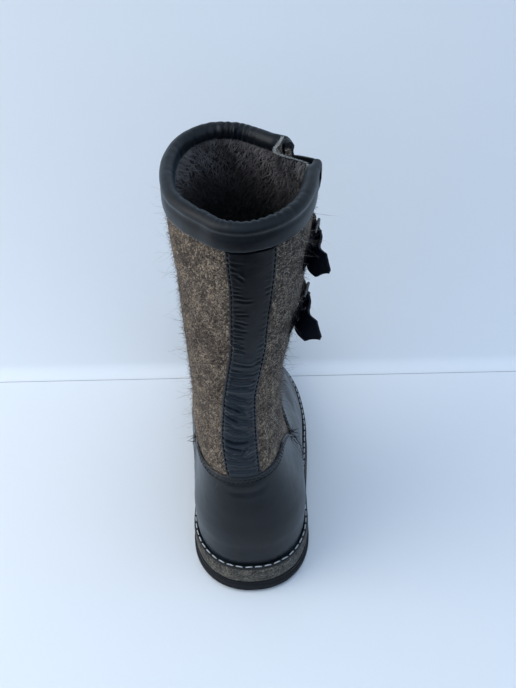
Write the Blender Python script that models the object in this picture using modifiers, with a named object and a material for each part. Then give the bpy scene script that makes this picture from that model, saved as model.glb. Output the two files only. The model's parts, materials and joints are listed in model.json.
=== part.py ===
"""A felt winter boot for the right foot, with a leather galosh and two buckled straps.

Sizes are in millimetres. X runs to the wearer's right, which is this boot's outer side, Y runs
from the heel to the toe and Z runs up from the floor. The forms below are worked out with Y
counted from the back of the heel, and to_frame() moves the origin to the middle of the heel rest.
"""

import math
from collections import namedtuple

import bmesh
import bpy
from mathutils import Vector

MM = 0.001
TURN = 2 * math.pi

# ---- driving dimensions -------------------------------------------------------------------

SOLE_LENGTH = 288.0
HEEL_REST_Y = 46.0  # from the back of the heel to the origin
OUTSOLE = 11.0
MIDSOLE = 13.5
WELT = 2.4
INSOLE = 4.0
FELT = 5.0
LEATHER = 1.6
GAP = 0.3  # between pieces that touch on the real boot
SEAM_GAP = 0.4  # between curved pieces whose facets differ
TOE_SPRING = 9.0
SPRING_START = 186.0  # where the sole leaves the floor
FEATHER_INSET = 9.4  # from the sole's edge in to the felt
UPPER_Z = OUTSOLE + MIDSOLE + 2 * GAP  # what stands on the midsole starts here

# Plans: the centre line's swing towards the outer side, and half the width.
PlanRow = namedtuple("PlanRow", "name along swing half_width")
SOLE_PLAN = (
    PlanRow("heel end", 0.00, 0.0, 47.0),
    PlanRow("heel", 0.20, 0.3, 47.5),
    PlanRow("waist", 0.36, 2.5, 47.1),
    PlanRow("waist end", 0.48, 3.8, 49.2),
    PlanRow("ball", 0.60, 3.6, 52.0),
    PlanRow("joint", 0.72, 2.6, 51.2),
    PlanRow("toes", 0.85, -1.1, 49.9),
    PlanRow("toe end", 1.00, -6.0, 46.0),
)
# The felt's outer face where it stands out furthest, above the sole.
LAST_PLAN = (
    PlanRow("heel end", 0.00, 0.0, 43.2),
    PlanRow("heel", 0.20, 0.9, 43.1),
    PlanRow("waist", 0.36, 1.6, 43.8),
    PlanRow("waist end", 0.48, 1.5, 45.1),
    PlanRow("ball", 0.60, 0.8, 47.2),
    PlanRow("joint", 0.72, 0.0, 46.6),
    PlanRow("toes", 0.85, -2.5, 45.6),
    PlanRow("toe end", 1.00, -6.0, 43.0),
)
HEEL_ROUND = 0.215  # share of the length that the heel's curve takes
TOE_ROUND = 0.30
ROUND_POWER = 2.25

# The felt's outer face, as closed rings from the featherline up to the collar. Each ring is laid
# from its back point to its front point. foot_share is how much its plan is the foot's, and how
# much the ring follows the toe spring; the rest of its plan is the leg's oval, and collar_share is
# how much the oval takes the collar's own shape.
Ring = namedtuple(
    "Ring", "name back_y back_z front_y front_z centre half_width foot_share collar_share"
)
RINGS = (
    Ring("featherline", 9.4, 25.1, 278.6, 25.1, 0.0, 42.6, 1.00, 0.00),
    Ring("wall", 6.6, 36.0, 281.0, 37.0, -0.3, 45.6, 1.00, 0.00),
    Ring("bulge", 5.2, 48.0, 278.0, 50.0, -0.5, 47.2, 1.00, 0.00),
    Ring("toe box", 5.2, 60.0, 266.0, 61.0, -1.0, 46.0, 1.00, 0.00),
    Ring("toe top", 6.5, 71.0, 246.0, 69.0, -1.8, 43.4, 0.95, 0.00),
    Ring("vamp low", 8.0, 82.0, 222.0, 77.0, -2.8, 40.4, 0.85, 0.00),
    Ring("vamp", 10.0, 93.0, 195.0, 87.0, -4.0, 38.0, 0.70, 0.00),
    Ring("instep", 12.0, 105.0, 168.0, 101.0, -5.2, 36.0, 0.50, 0.00),
    Ring("instep top", 13.5, 118.0, 146.0, 119.0, -6.4, 34.8, 0.30, 0.00),
    Ring("ankle low", 14.0, 134.0, 132.0, 142.0, -7.0, 34.2, 0.15, 0.00),
    Ring("ankle", 13.5, 155.0, 125.0, 170.0, -6.7, 33.4, 0.00, 0.00),
    Ring("shaft low", 11.0, 188.0, 122.0, 202.0, -5.8, 35.4, 0.00, 0.00),
    Ring("shaft", 7.0, 224.0, 123.5, 234.0, -2.8, 40.2, 0.00, 0.15),
    Ring("strap", 3.0, 262.0, 126.5, 268.0, 0.0, 44.2, 0.00, 0.40),
    Ring("top strap", -1.0, 300.0, 131.0, 304.0, 0.9, 48.1, 0.00, 0.75),
    Ring("collar", -3.5, 334.0, 134.5, 338.0, 1.7, 49.0, 0.00, 1.00),
)
# How much narrower the foot gets above its featherline: over the instep, which starts at a share
# of the length and rises over some rings, and over the toes.
SlimRow = namedtuple("SlimRow", "name amount length_start length_end level_start level_end")
SLIM = (
    SlimRow("instep", 0.22, 0.44, 0.72, 1.0, 4.0),
    SlimRow("toes", 0.13, 0.58, 0.86, 0.4, 1.6),
)
# How far the open collar stands out from its oval, by degrees round from the back.
CollarRow = namedtuple("CollarRow", "name turn out")
COLLAR = (
    CollarRow("back", 0, -0.5),
    CollarRow("back outer", 20, -2.0),
    CollarRow("outer", 45, -1.8),
    CollarRow("outer side", 70, -1.0),
    CollarRow("side", 88, 0.6),
    CollarRow("slit rear", 100, 4.0),
    CollarRow("slit", 112, -2.5),
    CollarRow("slit front", 122, -6.0),
    CollarRow("front end", 131, -4.8),
    CollarRow("front turn", 140, -8.6),
    CollarRow("front outer", 152, -9.3),
    CollarRow("front flat", 165, -7.6),
    CollarRow("front", 180, -2.5),
    CollarRow("front inner", 200, 3.2),
    CollarRow("inner front", 222, 4.8),
    CollarRow("inner", 242, 3.4),
    CollarRow("inner side", 270, 1.0),
    CollarRow("inner back", 290, 0.0),
    CollarRow("back turn", 306, -2.8),
    CollarRow("back flat", 325, -4.8),
    CollarRow("back inner", 341, -2.4),
    CollarRow("back again", 360, -0.5),
)
OVAL_POWER = 0.93  # under 1 the leg's oval is a little square
RING_COUNT = 20
POINTS_ROUND = 44


def smooth(values, place):
    """The value at a fractional index of evenly spaced values, on a smooth curve through them."""
    last = len(values) - 1
    i = min(int(place), last - 1)
    t = place - i
    a, b = values[i], values[i + 1]
    before = values[i - 1] if i else 2 * a - b
    after = values[i + 2] if i + 2 <= last else 2 * b - a
    rise_a, rise_b = (b - before) / 2, (after - a) / 2
    return (
        a * (1 + 2 * t) * (1 - t) ** 2
        + rise_a * t * (1 - t) ** 2
        + b * t * t * (3 - 2 * t)
        - rise_b * t * t * (1 - t)
    )


def column(rows, name, key, at):
    """A column of a table at a value of its key column, on a smooth curve."""
    keys = [getattr(row, key) for row in rows]
    values = [getattr(row, name) for row in rows]
    i = max(k for k in range(len(keys) - 1) if keys[k] <= at or k == 0)
    return smooth(values, i + (at - keys[i]) / (keys[i + 1] - keys[i]))


def mix(a, b, share):
    return a + (b - a) * share


def toe_spring(y):
    """How far the sole's layers have left the floor at y."""
    run = max(0.0, y - SPRING_START) / (SOLE_LENGTH - SPRING_START)
    return TOE_SPRING * run * run


# ---- plans --------------------------------------------------------------------------------


def end_round(along):
    """The share of the half width that the round heel and toe leave."""
    from_end = min(along / HEEL_ROUND, (1 - along) / TOE_ROUND, 1.0)
    return (1 - (1 - from_end) ** ROUND_POWER) ** (1 / ROUND_POWER)


def plan_edge(rows, angle):
    """A plan's outline, x in mm and y as a share of the length.

    Angle 0 is the back of the heel and a quarter turn the outer side.
    """
    along = (1 - math.cos(angle)) / 2
    side = 1 if math.sin(angle) >= 0 else -1
    half = column(rows, "half_width", "along", along) * end_round(along)
    return Vector((column(rows, "swing", "along", along) + side * half, along))


def sole_edge(angle):
    x, along = plan_edge(SOLE_PLAN, angle)
    return Vector((x, along * SOLE_LENGTH))


def sole_outline(angle, inset=0.0):
    """The sole's outline moved inwards by inset."""
    step = 0.01
    tangent = (sole_edge(angle + step) - sole_edge(angle - step)).normalized()
    return sole_edge(angle) + inset * Vector((-tangent.y, tangent.x))


# ---- the felt's form ----------------------------------------------------------------------

FEATHER_HEEL_Y = sole_outline(0, FEATHER_INSET).y
FEATHER_TOE_Y = sole_outline(math.pi, FEATHER_INSET).y
FEATHER_HALF = max(row.half_width for row in SOLE_PLAN) - FEATHER_INSET
LAST_HALF = max(row.half_width for row in LAST_PLAN)
BULGE_LEVEL = 2.0  # the ring from which the plan is wholly the last's


def ramp(start, end, at):
    """Rises evenly from 0 to 1 between start and end."""
    return min(1.0, max(0.0, (at - start) / (end - start)))


def foot_plan(angle, level):
    """The foot's plan at a level: x over the half width, and the share of the length."""
    feather = sole_outline(angle, FEATHER_INSET)
    feather_along = (feather.y - FEATHER_HEEL_Y) / (FEATHER_TOE_Y - FEATHER_HEEL_Y)
    x, along = plan_edge(LAST_PLAN, angle)
    share = min(1.0, level / BULGE_LEVEL)
    width = 1.0
    for row in SLIM:
        forward = ramp(row.length_start, row.length_end, along)
        upward = ramp(row.level_start, row.level_end, level)
        width -= row.amount * forward * forward * (3 - 2 * forward) * upward
    foot_x = width * mix(feather.x / FEATHER_HALF, x / LAST_HALF, share)
    return foot_x, mix(feather_along, along, share)


def felt_ring(angle, level):
    """A point of the felt's outer face. level counts the rows of RINGS."""
    row = {name: smooth([getattr(r, name) for r in RINGS], level) for name in Ring._fields[1:]}
    foot_x, foot_along = foot_plan(angle, level)
    side = 1 if math.sin(angle) >= 0 else -1
    oval_x = side * abs(math.sin(angle)) ** OVAL_POWER
    oval_along = (1 - math.cos(angle)) / 2
    share = min(1.0, max(0.0, row["foot_share"]))
    x = row["centre"] + row["half_width"] * mix(oval_x, foot_x, share)
    y = mix(row["back_y"], row["front_y"], mix(oval_along, foot_along, share))
    z = mix(row["back_z"], row["front_z"], mix(oval_along, foot_along, share))
    out = row["collar_share"] * column(COLLAR, "out", "turn", math.degrees(angle) % 360)
    oval_length = (row["front_y"] - row["back_y"]) / 2
    away = Vector((math.sin(angle) / row["half_width"], -math.cos(angle) / oval_length))
    x, y = Vector((x, y)) + out * away.normalized()
    return Vector((x, y, z + share * toe_spring(y)))


TOP_LEVEL = len(RINGS) - 1.0


def upper_face(angle, level, out=0.0):
    """A point of the upper, moved outwards from the felt's outer face by out."""
    point = felt_ring(angle, level)
    if out == 0:
        return point
    low, high = max(0.0, level - 0.02), min(TOP_LEVEL, level + 0.02)
    round_it = felt_ring(angle + 0.02, level) - felt_ring(angle - 0.02, level)
    up = felt_ring(angle, high) - felt_ring(angle, low)
    return point + out * round_it.cross(up).normalized()


def level_at(angle, z):
    """The level at which the felt reaches height z, going up at this angle."""
    low, high = 0.0, TOP_LEVEL
    for _ in range(30):
        middle = (low + high) / 2
        low, high = (middle, high) if felt_ring(angle, middle).z < z else (low, middle)
    return low


# ---- meshes -------------------------------------------------------------------------------


def to_frame(point):
    x, y, z = point
    return Vector((x, y - HEEL_REST_Y, z)) * MM


def material(name, colour, roughness, metallic=0.0):
    made = bpy.data.materials.get(name)
    if made is None:
        made = bpy.data.materials.new(name)
        made.use_nodes = True
        shader = made.node_tree.nodes["Principled BSDF"]
        shader.inputs["Base Color"].default_value = (*colour, 1)
        shader.inputs["Roughness"].default_value = roughness
        shader.inputs["Metallic"].default_value = metallic
    return made


def felt_material():
    return material("brown_felt", (0.16, 0.13, 0.10), 0.95)


def grey_felt_material():
    return material("grey_felt", (0.14, 0.13, 0.11), 0.95)


def leather_material():
    return material("black_leather", (0.025, 0.028, 0.034), 0.45)


def rubber_material():
    return material("black_rubber", (0.018, 0.018, 0.019), 0.7)


def metal_material():
    return material("dark_nickel", (0.42, 0.42, 0.43), 0.3, 1.0)


def link(name, mesh, look, collection):
    made = bpy.data.objects.new(name, mesh)
    made.data.materials.append(look)
    collection.objects.link(made)
    return made


def grid_object(name, rows, look, collection, closed=False, rows_closed=False):
    """An open surface through rows of points, each row closed into a ring or not."""
    mesh = bpy.data.meshes.new(name)
    form = bmesh.new()
    grid = [[form.verts.new(to_frame(point)) for point in row] for row in rows]
    if rows_closed:
        grid.append(grid[0])
    for low, high in zip(grid, grid[1:]):
        count = len(low)
        for j in range(count if closed else count - 1):
            k = (j + 1) % count
            form.faces.new((low[j], low[k], high[k], high[j]))
    form.to_mesh(mesh)
    form.free()
    mesh.shade_smooth()
    return link(name, mesh, look, collection)


def solidify(obj, thickness, outwards):
    """Gives an open surface its wall, to the outer side of its faces or to the inner one."""
    wall = obj.modifiers.new("wall", "SOLIDIFY")
    wall.thickness = thickness * MM
    wall.offset = 1 if outwards else -1
    wall.use_even_offset = True
    return obj



# ---- the sole -----------------------------------------------------------------------------

# The profile of the outsole's side, from the tread up: inset from the plan and height.
SideRow = namedtuple("SideRow", "name inset height")
OUTSOLE_SIDE = (
    SideRow("tread edge", 2.6, 0.0),
    SideRow("bevel", 0.9, 2.2),
    SideRow("rib", 0.0, 3.4),
    SideRow("rib top", 0.0, 6.4),
    SideRow("step", 1.1, 7.4),
    SideRow("top", 1.1, 11.0),
)
MIDSOLE_SIDE = (
    SideRow("bottom", 1.6, 0.0),
    SideRow("lower side", 1.0, 2.5),
    SideRow("upper side", 0.6, 11.0),
    SideRow("top", 1.1, 13.5),
)
INSOLE_SIDE = (SideRow("bottom", 15.4, 0.0), SideRow("top", 15.4, INSOLE))
SOLE_POINTS = 52


def arch(y):
    """The shallow hollow under the waist of the outsole."""
    run = min(max((y - 84.0) / (136.0 - 84.0), 0.0), 1.0)
    return 2.4 * min(1.0, 2.2 * math.sin(math.pi * run))


def stack_form(name, side, bottom, look, collection, lower_face=None):
    """A layer of the sole: loops of its side's profile, closed by a cap above and below."""
    mesh = bpy.data.meshes.new(name)
    form = bmesh.new()
    angles = [TURN * j / SOLE_POINTS for j in range(SOLE_POINTS)]
    loops = []
    for row in side:
        loop = []
        for angle in angles:
            p = sole_outline(angle, row.inset)
            z = bottom + row.height + toe_spring(p.y)
            if lower_face and row is side[0]:
                z += lower_face(p.y)
            loop.append(form.verts.new(to_frame((p.x, p.y, z))))
        loops.append(loop)
    for low, high in zip(loops, loops[1:]):
        for j in range(SOLE_POINTS):
            k = (j + 1) % SOLE_POINTS
            form.faces.new((low[j], low[k], high[k], high[j]))
    ladder(form, loops[0], False)
    ladder(form, loops[-1], True)
    form.to_mesh(mesh)
    form.free()
    return link(name, mesh, look, collection)


def ladder(form, ring, upwards):
    """Closes a ring with strips across the sole, so that the cap bends along the sole's length."""
    half = len(ring) // 2
    for j in range(half):
        a, b, c, d = ring[j], ring[j + 1], ring[-j - 1], ring[-j]
        corners = [a, b, c, d]
        if j == 0:
            corners = [a, b, c]
        if j == half - 1:
            corners = [a, b, d]
        form.faces.new(corners if upwards else corners[::-1])


# ---- the collar ---------------------------------------------------------------------------

SLIT_REAR = 12 * TURN / POINTS_ROUND  # where the binding ends on each side of the slit
SLIT_FRONT = 15 * TURN / POINTS_ROUND
SLIT_FOOT_Z = 214.0

# The binding's section round the felt's top edge: how far out from the felt's outer face, and how
# far up from its edge.
BindingRow = namedtuple("BindingRow", "name out up")
BINDING = (
    BindingRow("outer leg inside", 0.5, -13.8),
    BindingRow("outer leg foot", 1.9, -14.2),
    BindingRow("outer leg", 2.9, -12.6),
    BindingRow("band", 3.1, -7.0),
    BindingRow("valley", 2.5, -2.4),
    BindingRow("roll outside", 3.1, 0.8),
    BindingRow("roll shoulder", 1.8, 3.9),
    BindingRow("roll top", -1.0, 5.4),
    BindingRow("roll crest", -4.0, 5.0),
    BindingRow("roll inside", -6.2, 3.0),
    BindingRow("roll under", -7.2, 0.0),
    BindingRow("inner leg", -7.0, -4.2),
    BindingRow("inner leg foot", -5.8, -4.9),
    BindingRow("inner corner", -5.8, 0.5),
    BindingRow("outer corner", 0.5, 0.5),
)


def edge_frame(angle):
    """The felt's top edge at an angle, with its outward and its upward direction."""
    edge = felt_ring(angle, TOP_LEVEL)
    up = (edge - felt_ring(angle, TOP_LEVEL - 0.5)).normalized()
    along = felt_ring(angle + 0.02, TOP_LEVEL) - felt_ring(angle - 0.02, TOP_LEVEL)
    return edge, along.cross(up).normalized(), up


def loft(name, sections, look, collection, smooth_faces=True):
    """A closed body through sections of equally many points, with a cap on its first and last."""
    mesh = bpy.data.meshes.new(name)
    form = bmesh.new()
    loops = [[form.verts.new(to_frame(point)) for point in section] for section in sections]
    count = len(loops[0])
    for low, high in zip(loops, loops[1:]):
        for j in range(count):
            k = (j + 1) % count
            form.faces.new((low[j], low[k], high[k], high[j]))
    form.faces.new(loops[0][::-1])
    form.faces.new(loops[-1])
    bmesh.ops.recalc_face_normals(form, faces=form.faces)
    form.to_mesh(mesh)
    form.free()
    if smooth_faces:
        mesh.shade_smooth()
    return link(name, mesh, look, collection)


def collar_binding(look, collection):
    """The padded roll, from the slit's front edge round the back to its rear edge."""
    step = TURN / POINTS_ROUND  # its sections stand at the felt's own corners
    sections = []
    for j in range(round(SLIT_FRONT / step), round((SLIT_REAR + TURN) / step) + 1):
        edge, out, up = edge_frame(step * j)
        sections.append([edge + row.out * out + row.up * up for row in BINDING])
    return loft("collar_binding", sections, look, collection)


# ---- overlays -----------------------------------------------------------------------------
# The galosh's leather and the back stay are a shell that follows the felt, cut to shape from the
# side or from behind.

SideOutline = namedtuple("SideOutline", "name y z")
COUNTER_EDGE = (
    SideOutline("under the heel", -20.0, 10.0),
    SideOutline("back", -20.0, 114.5),
    SideOutline("top back", 14.0, 114.5),
    SideOutline("top side", 32.0, 116.0),
    SideOutline("top bend", 48.0, 116.5),
    SideOutline("slope", 60.0, 111.0),
    SideOutline("slope low", 77.0, 98.0),
    SideOutline("corner", 91.0, 85.0),
    SideOutline("seam top", 96.5, 76.0),
    SideOutline("seam", 98.5, 66.0),
    SideOutline("seam low", 97.0, 52.0),
    SideOutline("seam foot", 94.5, 10.0),
)
VAMP_EDGE = (
    SideOutline("seam foot", 95.2, 10.0),
    SideOutline("seam low", 97.7, 52.0),
    SideOutline("seam", 99.2, 66.0),
    SideOutline("seam top", 97.2, 76.4),
    SideOutline("corner", 91.6, 86.0),
    SideOutline("rear edge", 90.8, 102.0),
    SideOutline("rear bend", 92.5, 117.0),
    SideOutline("top rear", 99.0, 133.0),
    SideOutline("top side", 110.0, 146.0),
    SideOutline("top", 124.0, 153.0),
    SideOutline("above the toe", 160.0, 156.0),
    SideOutline("ahead of the toe", 320.0, 156.0),
    SideOutline("under the toe", 320.0, 10.0),
)
StayRow = namedtuple("StayRow", "name z centre half_width")
STAY = (
    StayRow("foot", 115.1, -4.4, 12.0),
    StayRow("low", 122.0, -5.3, 12.6),
    StayRow("ankle", 150.0, -6.6, 12.8),
    StayRow("narrow", 190.0, -5.2, 11.6),
    StayRow("rise", 213.0, -1.8, 11.9),
    StayRow("calf", 236.0, 1.8, 12.3),
    StayRow("upper", 256.0, 3.2, 12.8),
    StayRow("strap", 285.0, 5.3, 14.2),
    StayRow("top", 307.0, 5.9, 15.8),
    StayRow("end", 318.6, 6.0, 16.2),
)


def round_angles():
    return [TURN * j / POINTS_ROUND for j in range(POINTS_ROUND)]


def ring_rows(low, high, out=0.0):
    """The grid of the upper between two levels or just beyond, moved outwards."""
    first = math.floor(low * RING_COUNT / TOP_LEVEL)
    last = math.ceil(high * RING_COUNT / TOP_LEVEL)
    return [
        [upper_face(angle, TOP_LEVEL * i / RING_COUNT, out) for angle in round_angles()]
        for i in range(first, last + 1)
    ]


def prism(name, polygon, across, collection):
    """A closed prism over a polygon of points, stretched along the vector across."""
    mesh = bpy.data.meshes.new(name)
    form = bmesh.new()
    near = [form.verts.new(to_frame(p)) for p in polygon]
    far = [form.verts.new(to_frame(Vector(p) + Vector(across))) for p in polygon]
    form.faces.new(near)
    form.faces.new(far[::-1])
    for j in range(len(near)):
        k = (j + 1) % len(near)
        form.faces.new((near[k], near[j], far[j], far[k]))
    bmesh.ops.recalc_face_normals(form, faces=form.faces)
    form.to_mesh(mesh)
    form.free()
    return cutter(name, mesh, collection)


def cutter(name, mesh, collection):
    made = bpy.data.objects.new(name, mesh)
    made.hide_render = True
    made.display_type = "WIRE"
    collection.objects.link(made)
    return made


def cut(obj, tool, operation):
    step = obj.modifiers.new(tool.name, "BOOLEAN")
    step.operation = operation
    step.solver = "EXACT"
    step.object = tool


def overlay(name, low, high, tool, collection):
    """The part of the leather shell that lies inside a cutter."""
    rows = ring_rows(low, high, SEAM_GAP)
    if low == 0:  # the leather ends a little above the featherline
        rows[0] = [low.lerp(high, 0.16) for low, high in zip(rows[0], rows[1])]
    obj = grid_object(name, rows, leather_material(), collection, closed=True)
    solidify(obj, LEATHER, True)
    cut(obj, tool, "INTERSECT")
    return obj


def galosh(boot, cutters):
    half = 90.0
    for name, edge, top in (("heel_counter", COUNTER_EDGE, 8.6), ("vamp", VAMP_EDGE, 10.6)):
        outline = [(-half, row.y, row.z) for row in edge]
        overlay(name, 0, top, prism(name + "_outline", outline, (2 * half, 0, 0), cutters), boot)
    left = [(row.centre - row.half_width, -30.0, row.z) for row in STAY]
    right = [(row.centre + row.half_width, -30.0, row.z) for row in STAY[::-1]]
    tool = prism("back_stay_outline", left + right, (0, 75.0, 0), cutters)
    overlay("back_stay", 7.2, 14.6, tool, boot)


# ---- the slit and its gusset --------------------------------------------------------------


def slit_share(z):
    """How far the slit has opened at a height, 0 at its foot and 1 at the collar."""
    return (z - SLIT_FOOT_Z) / (felt_ring(SLIT_REAR, TOP_LEVEL).z - SLIT_FOOT_Z)


def slit_angles(z):
    middle, share = (SLIT_REAR + SLIT_FRONT) / 2, slit_share(z)
    half = mix(math.radians(1.6), (SLIT_FRONT - SLIT_REAR) / 2 - 0.018, max(0.0, share))
    return middle - half, middle + half


def slit_cutter(cutters):
    sections = []
    heights = [SLIT_FOOT_Z + 118.0 * i / 4 for i in range(5)]
    for z in heights + [heights[-1] + 12.0]:
        rear, front = slit_angles(min(z, heights[-1]))
        section = []
        for angle, out in ((rear, 6.0), (front, 6.0), (front, -12.0), (rear, -12.0)):
            point = upper_face(angle, min(TOP_LEVEL, level_at(angle, z)), out)
            section.append(Vector((point.x, point.y, z)))
        sections.append(section)
    made = loft("slit", sections, leather_material(), cutters, smooth_faces=False)
    made.hide_render = True
    made.display_type = "WIRE"
    return made


GUSSET = 2.2
FLANGE = math.radians(4.0)  # how far it reaches behind the felt on each side of the slit

# How far the gusset's flanges and its crease lie inside the felt's outer face, by height, where
# along the slit the crease runs, 0 at the rear edge and 1 at the front one, and how much higher
# than the rear edge the crease and the front edge stand.
GussetRow = namedtuple("GussetRow", "name z fold_share flange_depth fold_depth fold_rise front_rise")
GUSSET_ROWS = (
    GussetRow("foot", 217.0, 0.66, 7.4, 7.8, 0.0, 0.0),
    GussetRow("low", 240.0, 0.70, 7.4, 9.0, 0.0, 0.0),
    GussetRow("middle", 262.0, 0.75, 7.4, 10.8, 0.0, 0.0),
    GussetRow("upper", 285.0, 0.80, 7.4, 12.4, 0.0, 0.0),
    GussetRow("high", 308.0, 0.84, 7.4, 14.0, 0.0, 0.0),
    GussetRow("under the binding", 327.0, 0.87, 7.4, 14.8, 0.0, 0.0),
    GussetRow("behind the binding", 331.0, 0.88, 9.4, 15.0, 0.5, 1.0),
    GussetRow("top", 338.5, 0.90, 9.4, 15.0, 3.0, 5.5),
)


def gusset(look, collection):
    """A felt bellows folded inwards between the slit's edges."""
    sections = []
    for row in GUSSET_ROWS:
        rear, front = slit_angles(row.z)
        line = []
        for angle, depth, rise in (
            (rear - FLANGE, row.flange_depth, 0.0),
            (rear, row.flange_depth, 0.0),
            (mix(rear, front, row.fold_share), row.fold_depth, row.fold_rise),
            (front, row.flange_depth, row.front_rise),
            (front + FLANGE, row.flange_depth, row.front_rise),
        ):
            point = upper_face(angle, level_at(angle, row.z), -depth)
            line.append(Vector((point.x, point.y, row.z + rise)))
        sections.append(strip_section(line, GUSSET))
    return loft("gusset", sections, look, collection)


def strip_section(line, thickness):
    """A closed section, thickness wide, along a line of points of about one height."""
    sides = ([], [])
    flat = [Vector((point.x, point.y, 0.0)) for point in line]
    for k, point in enumerate(line):
        before = (flat[k] - flat[k - 1]).normalized() if k else None
        after = (flat[k + 1] - flat[k]).normalized() if k + 1 < len(line) else None
        before, after = before or after, after or before
        tangent = (before + after).normalized()
        across = Vector((-tangent.y, tangent.x, 0.0))
        reach = thickness / 2 / max(0.45, across.dot(Vector((-after.y, after.x, 0.0))))
        sides[0].append(point + reach * across)
        sides[1].append(point - reach * across)
    return sides[0] + sides[1][::-1]


# ---- straps and buckles -------------------------------------------------------------------
# A buckle's own axes start on the felt under its rear bar: s runs back along the strap, out away
# from the felt and w up the shaft.

STRAP_WIDTH = 20.0
STRAP = 1.6
TAB = 1.0
WIRE = 1.0  # radius
PRONG = 0.8  # radius
BAR_OUT = 3.3
FRAME_LENGTH = 16.0
FRONT_BAR_OUT = 4.4
FRAME_HALF = STRAP_WIDTH / 2 + 0.6 + WIRE

StrapRow = namedtuple("StrapRow", "name z turn tail_lift tail_flare")
STRAPS = (
    StrapRow("upper", 289.0, 79.5, 3.5, 1.5),
    StrapRow("lower", 240.5, 74.5, 5.0, 4.5),
)
SEWN_FROM, SEWN_TO = 19, 12  # the felt's corners between which the strap lies on it

PathRow = namedtuple("PathRow", "name s out lean half_width")
STRAP_PATH = (
    PathRow("front bar", -FRAME_LENGTH, 1.7, 0, 1.0),
    PathRow("rising", -9.5, 3.5, 0, 1.0),
    PathRow("on the prong", -4.5, 5.5, 0, 1.0),
    PathRow("rear bar", 0.0, 6.8, 0, 1.0),
    PathRow("over", 4.5, 6.6, 2, 1.0),
    PathRow("dipping", 10.0, 5.0, 5, 1.0),
    PathRow("tail", 15.5, 4.2, 8, 1.0),
    PathRow("tail bend", 21.0, 5.4, 11, 1.0),
    PathRow("tail end", 26.5, 9.2, 13, 1.0),
    PathRow("tip side", 28.8, 11.2, 13, 0.64),
    PathRow("tip", 33.4, 14.6, 13, 0.08),
)
TAB_PATH = (
    (20.0, 0.9),
    (12.0, 0.9),
    (5.5, 1.0),
    (2.2, 1.2),
    (0.0, 1.4),
    (-1.5, 1.9),
    (-2.1, 3.3),
    (-1.5, 4.7),
    (0.0, 5.2),
    (1.4, 4.6),
    (2.8, 3.2),
    (5.5, 2.3),
    (8.0, 2.1),
    (11.0, 2.0),
)


class BuckleAxes:
    """Places points given along the strap, out from the felt and up the shaft."""

    def __init__(self, z, turn):
        angle = math.radians(turn)
        level = level_at(angle, z)
        self.z, self.angle = z, angle
        self.origin = felt_ring(angle, level)
        along = felt_ring(angle - 0.03, level) - felt_ring(angle + 0.03, level)
        self.turn_per_mm = 0.06 / along.length
        up = felt_ring(angle, level + 0.2) - felt_ring(angle, level - 0.2)
        self.w = (up - up.project(along)).normalized()
        self.s = along.normalized()
        self.out = self.w.cross(self.s).normalized()
        if self.out.x < 0:
            self.out = -self.out

    def place(self, s, out, w=0.0):
        return self.origin + s * self.s + out * self.out + w * self.w

    def on_felt(self, s, out):
        """A point whose distance out is counted from the felt, which curves away from the axis s."""
        angle = self.angle - s * self.turn_per_mm
        felt = felt_ring(angle, level_at(angle, self.z))
        return self.place(s, out + (felt - self.origin).dot(self.out))


def ribbon_section(centre, half_width, wide, thin, thickness):
    """A strap's section: thickness along thin and the width along wide."""
    corners = ((1, 1), (-1, 1), (-1, -1), (1, -1))
    return [centre + a * half_width * wide + b * thickness / 2 * thin for a, b in corners]


def strap(row, axes, boot, cutters):
    sections = []
    half = STRAP_WIDTH / 2
    for j in range(SEWN_FROM, SEWN_TO - 1, -1):
        angle = TURN * j / POINTS_ROUND
        level = level_at(angle, row.z)
        centre = upper_face(angle, level, SEAM_GAP + STRAP / 2 + 0.1)
        up = (felt_ring(angle, level + 0.2) - felt_ring(angle, level - 0.2)).normalized()
        out = (centre - felt_ring(angle, level)).normalized()
        share = 0.8 if j == SEWN_FROM else 1.0
        sections.append(ribbon_section(centre, half * share, up, out, STRAP))
    for k, step in enumerate(STRAP_PATH):
        before, after = STRAP_PATH[max(0, k - 1)], STRAP_PATH[min(len(STRAP_PATH) - 1, k + 1)]
        run = ((after.s - before.s) * axes.s + (after.out - before.out) * axes.out).normalized()
        lean = math.radians(step.lean)
        thin = run.cross(axes.w).normalized()
        thin = thin if thin.dot(axes.out) > 0 else -thin
        wide = math.cos(lean) * axes.w + math.sin(lean) * thin
        thin = math.cos(lean) * thin - math.sin(lean) * axes.w
        bent = max(0.0, step.s / STRAP_PATH[-1].s) ** 2
        centre = axes.place(step.s, step.out + row.tail_flare * bent, row.tail_lift * bent)
        sections.append(ribbon_section(centre, half * step.half_width, wide, thin, STRAP))
    made = loft(f"strap_{row.name}", sections, leather_material(), boot, smooth_faces=False)
    cut(made, box(f"prong_hole_{row.name}", axes, (-10.4, 3.4), (1.5, 9.0), 1.2, cutters), "DIFFERENCE")
    return made


def box(name, axes, s_range, out_range, half, collection):
    """A closed box in a buckle's axes."""
    near = [axes.place(s, out, -half) for s, out in (
        (s_range[0], out_range[0]), (s_range[1], out_range[0]),
        (s_range[1], out_range[1]), (s_range[0], out_range[1]),
    )]
    return prism(name, near, 2 * half * axes.w, collection)


def buckle_tab(row, axes, boot, cutters):
    """The leather loop that holds the buckle's rear bar."""
    sections = []
    centres = [axes.on_felt(s, out) for s, out in TAB_PATH]
    for k, centre in enumerate(centres):
        run = (centres[min(len(centres) - 1, k + 1)] - centres[max(0, k - 1)]).normalized()
        thin = run.cross(axes.w).normalized()
        sections.append(ribbon_section(centre, STRAP_WIDTH / 2 - 1.2, axes.w, thin, TAB))
    made = loft(f"buckle_tab_{row.name}", sections, leather_material(), boot, smooth_faces=False)
    cut(made, box(f"prong_slot_{row.name}", axes, (-4.0, 3.8), (-2.0, 8.0), 1.2, cutters), "DIFFERENCE")
    return made


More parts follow.
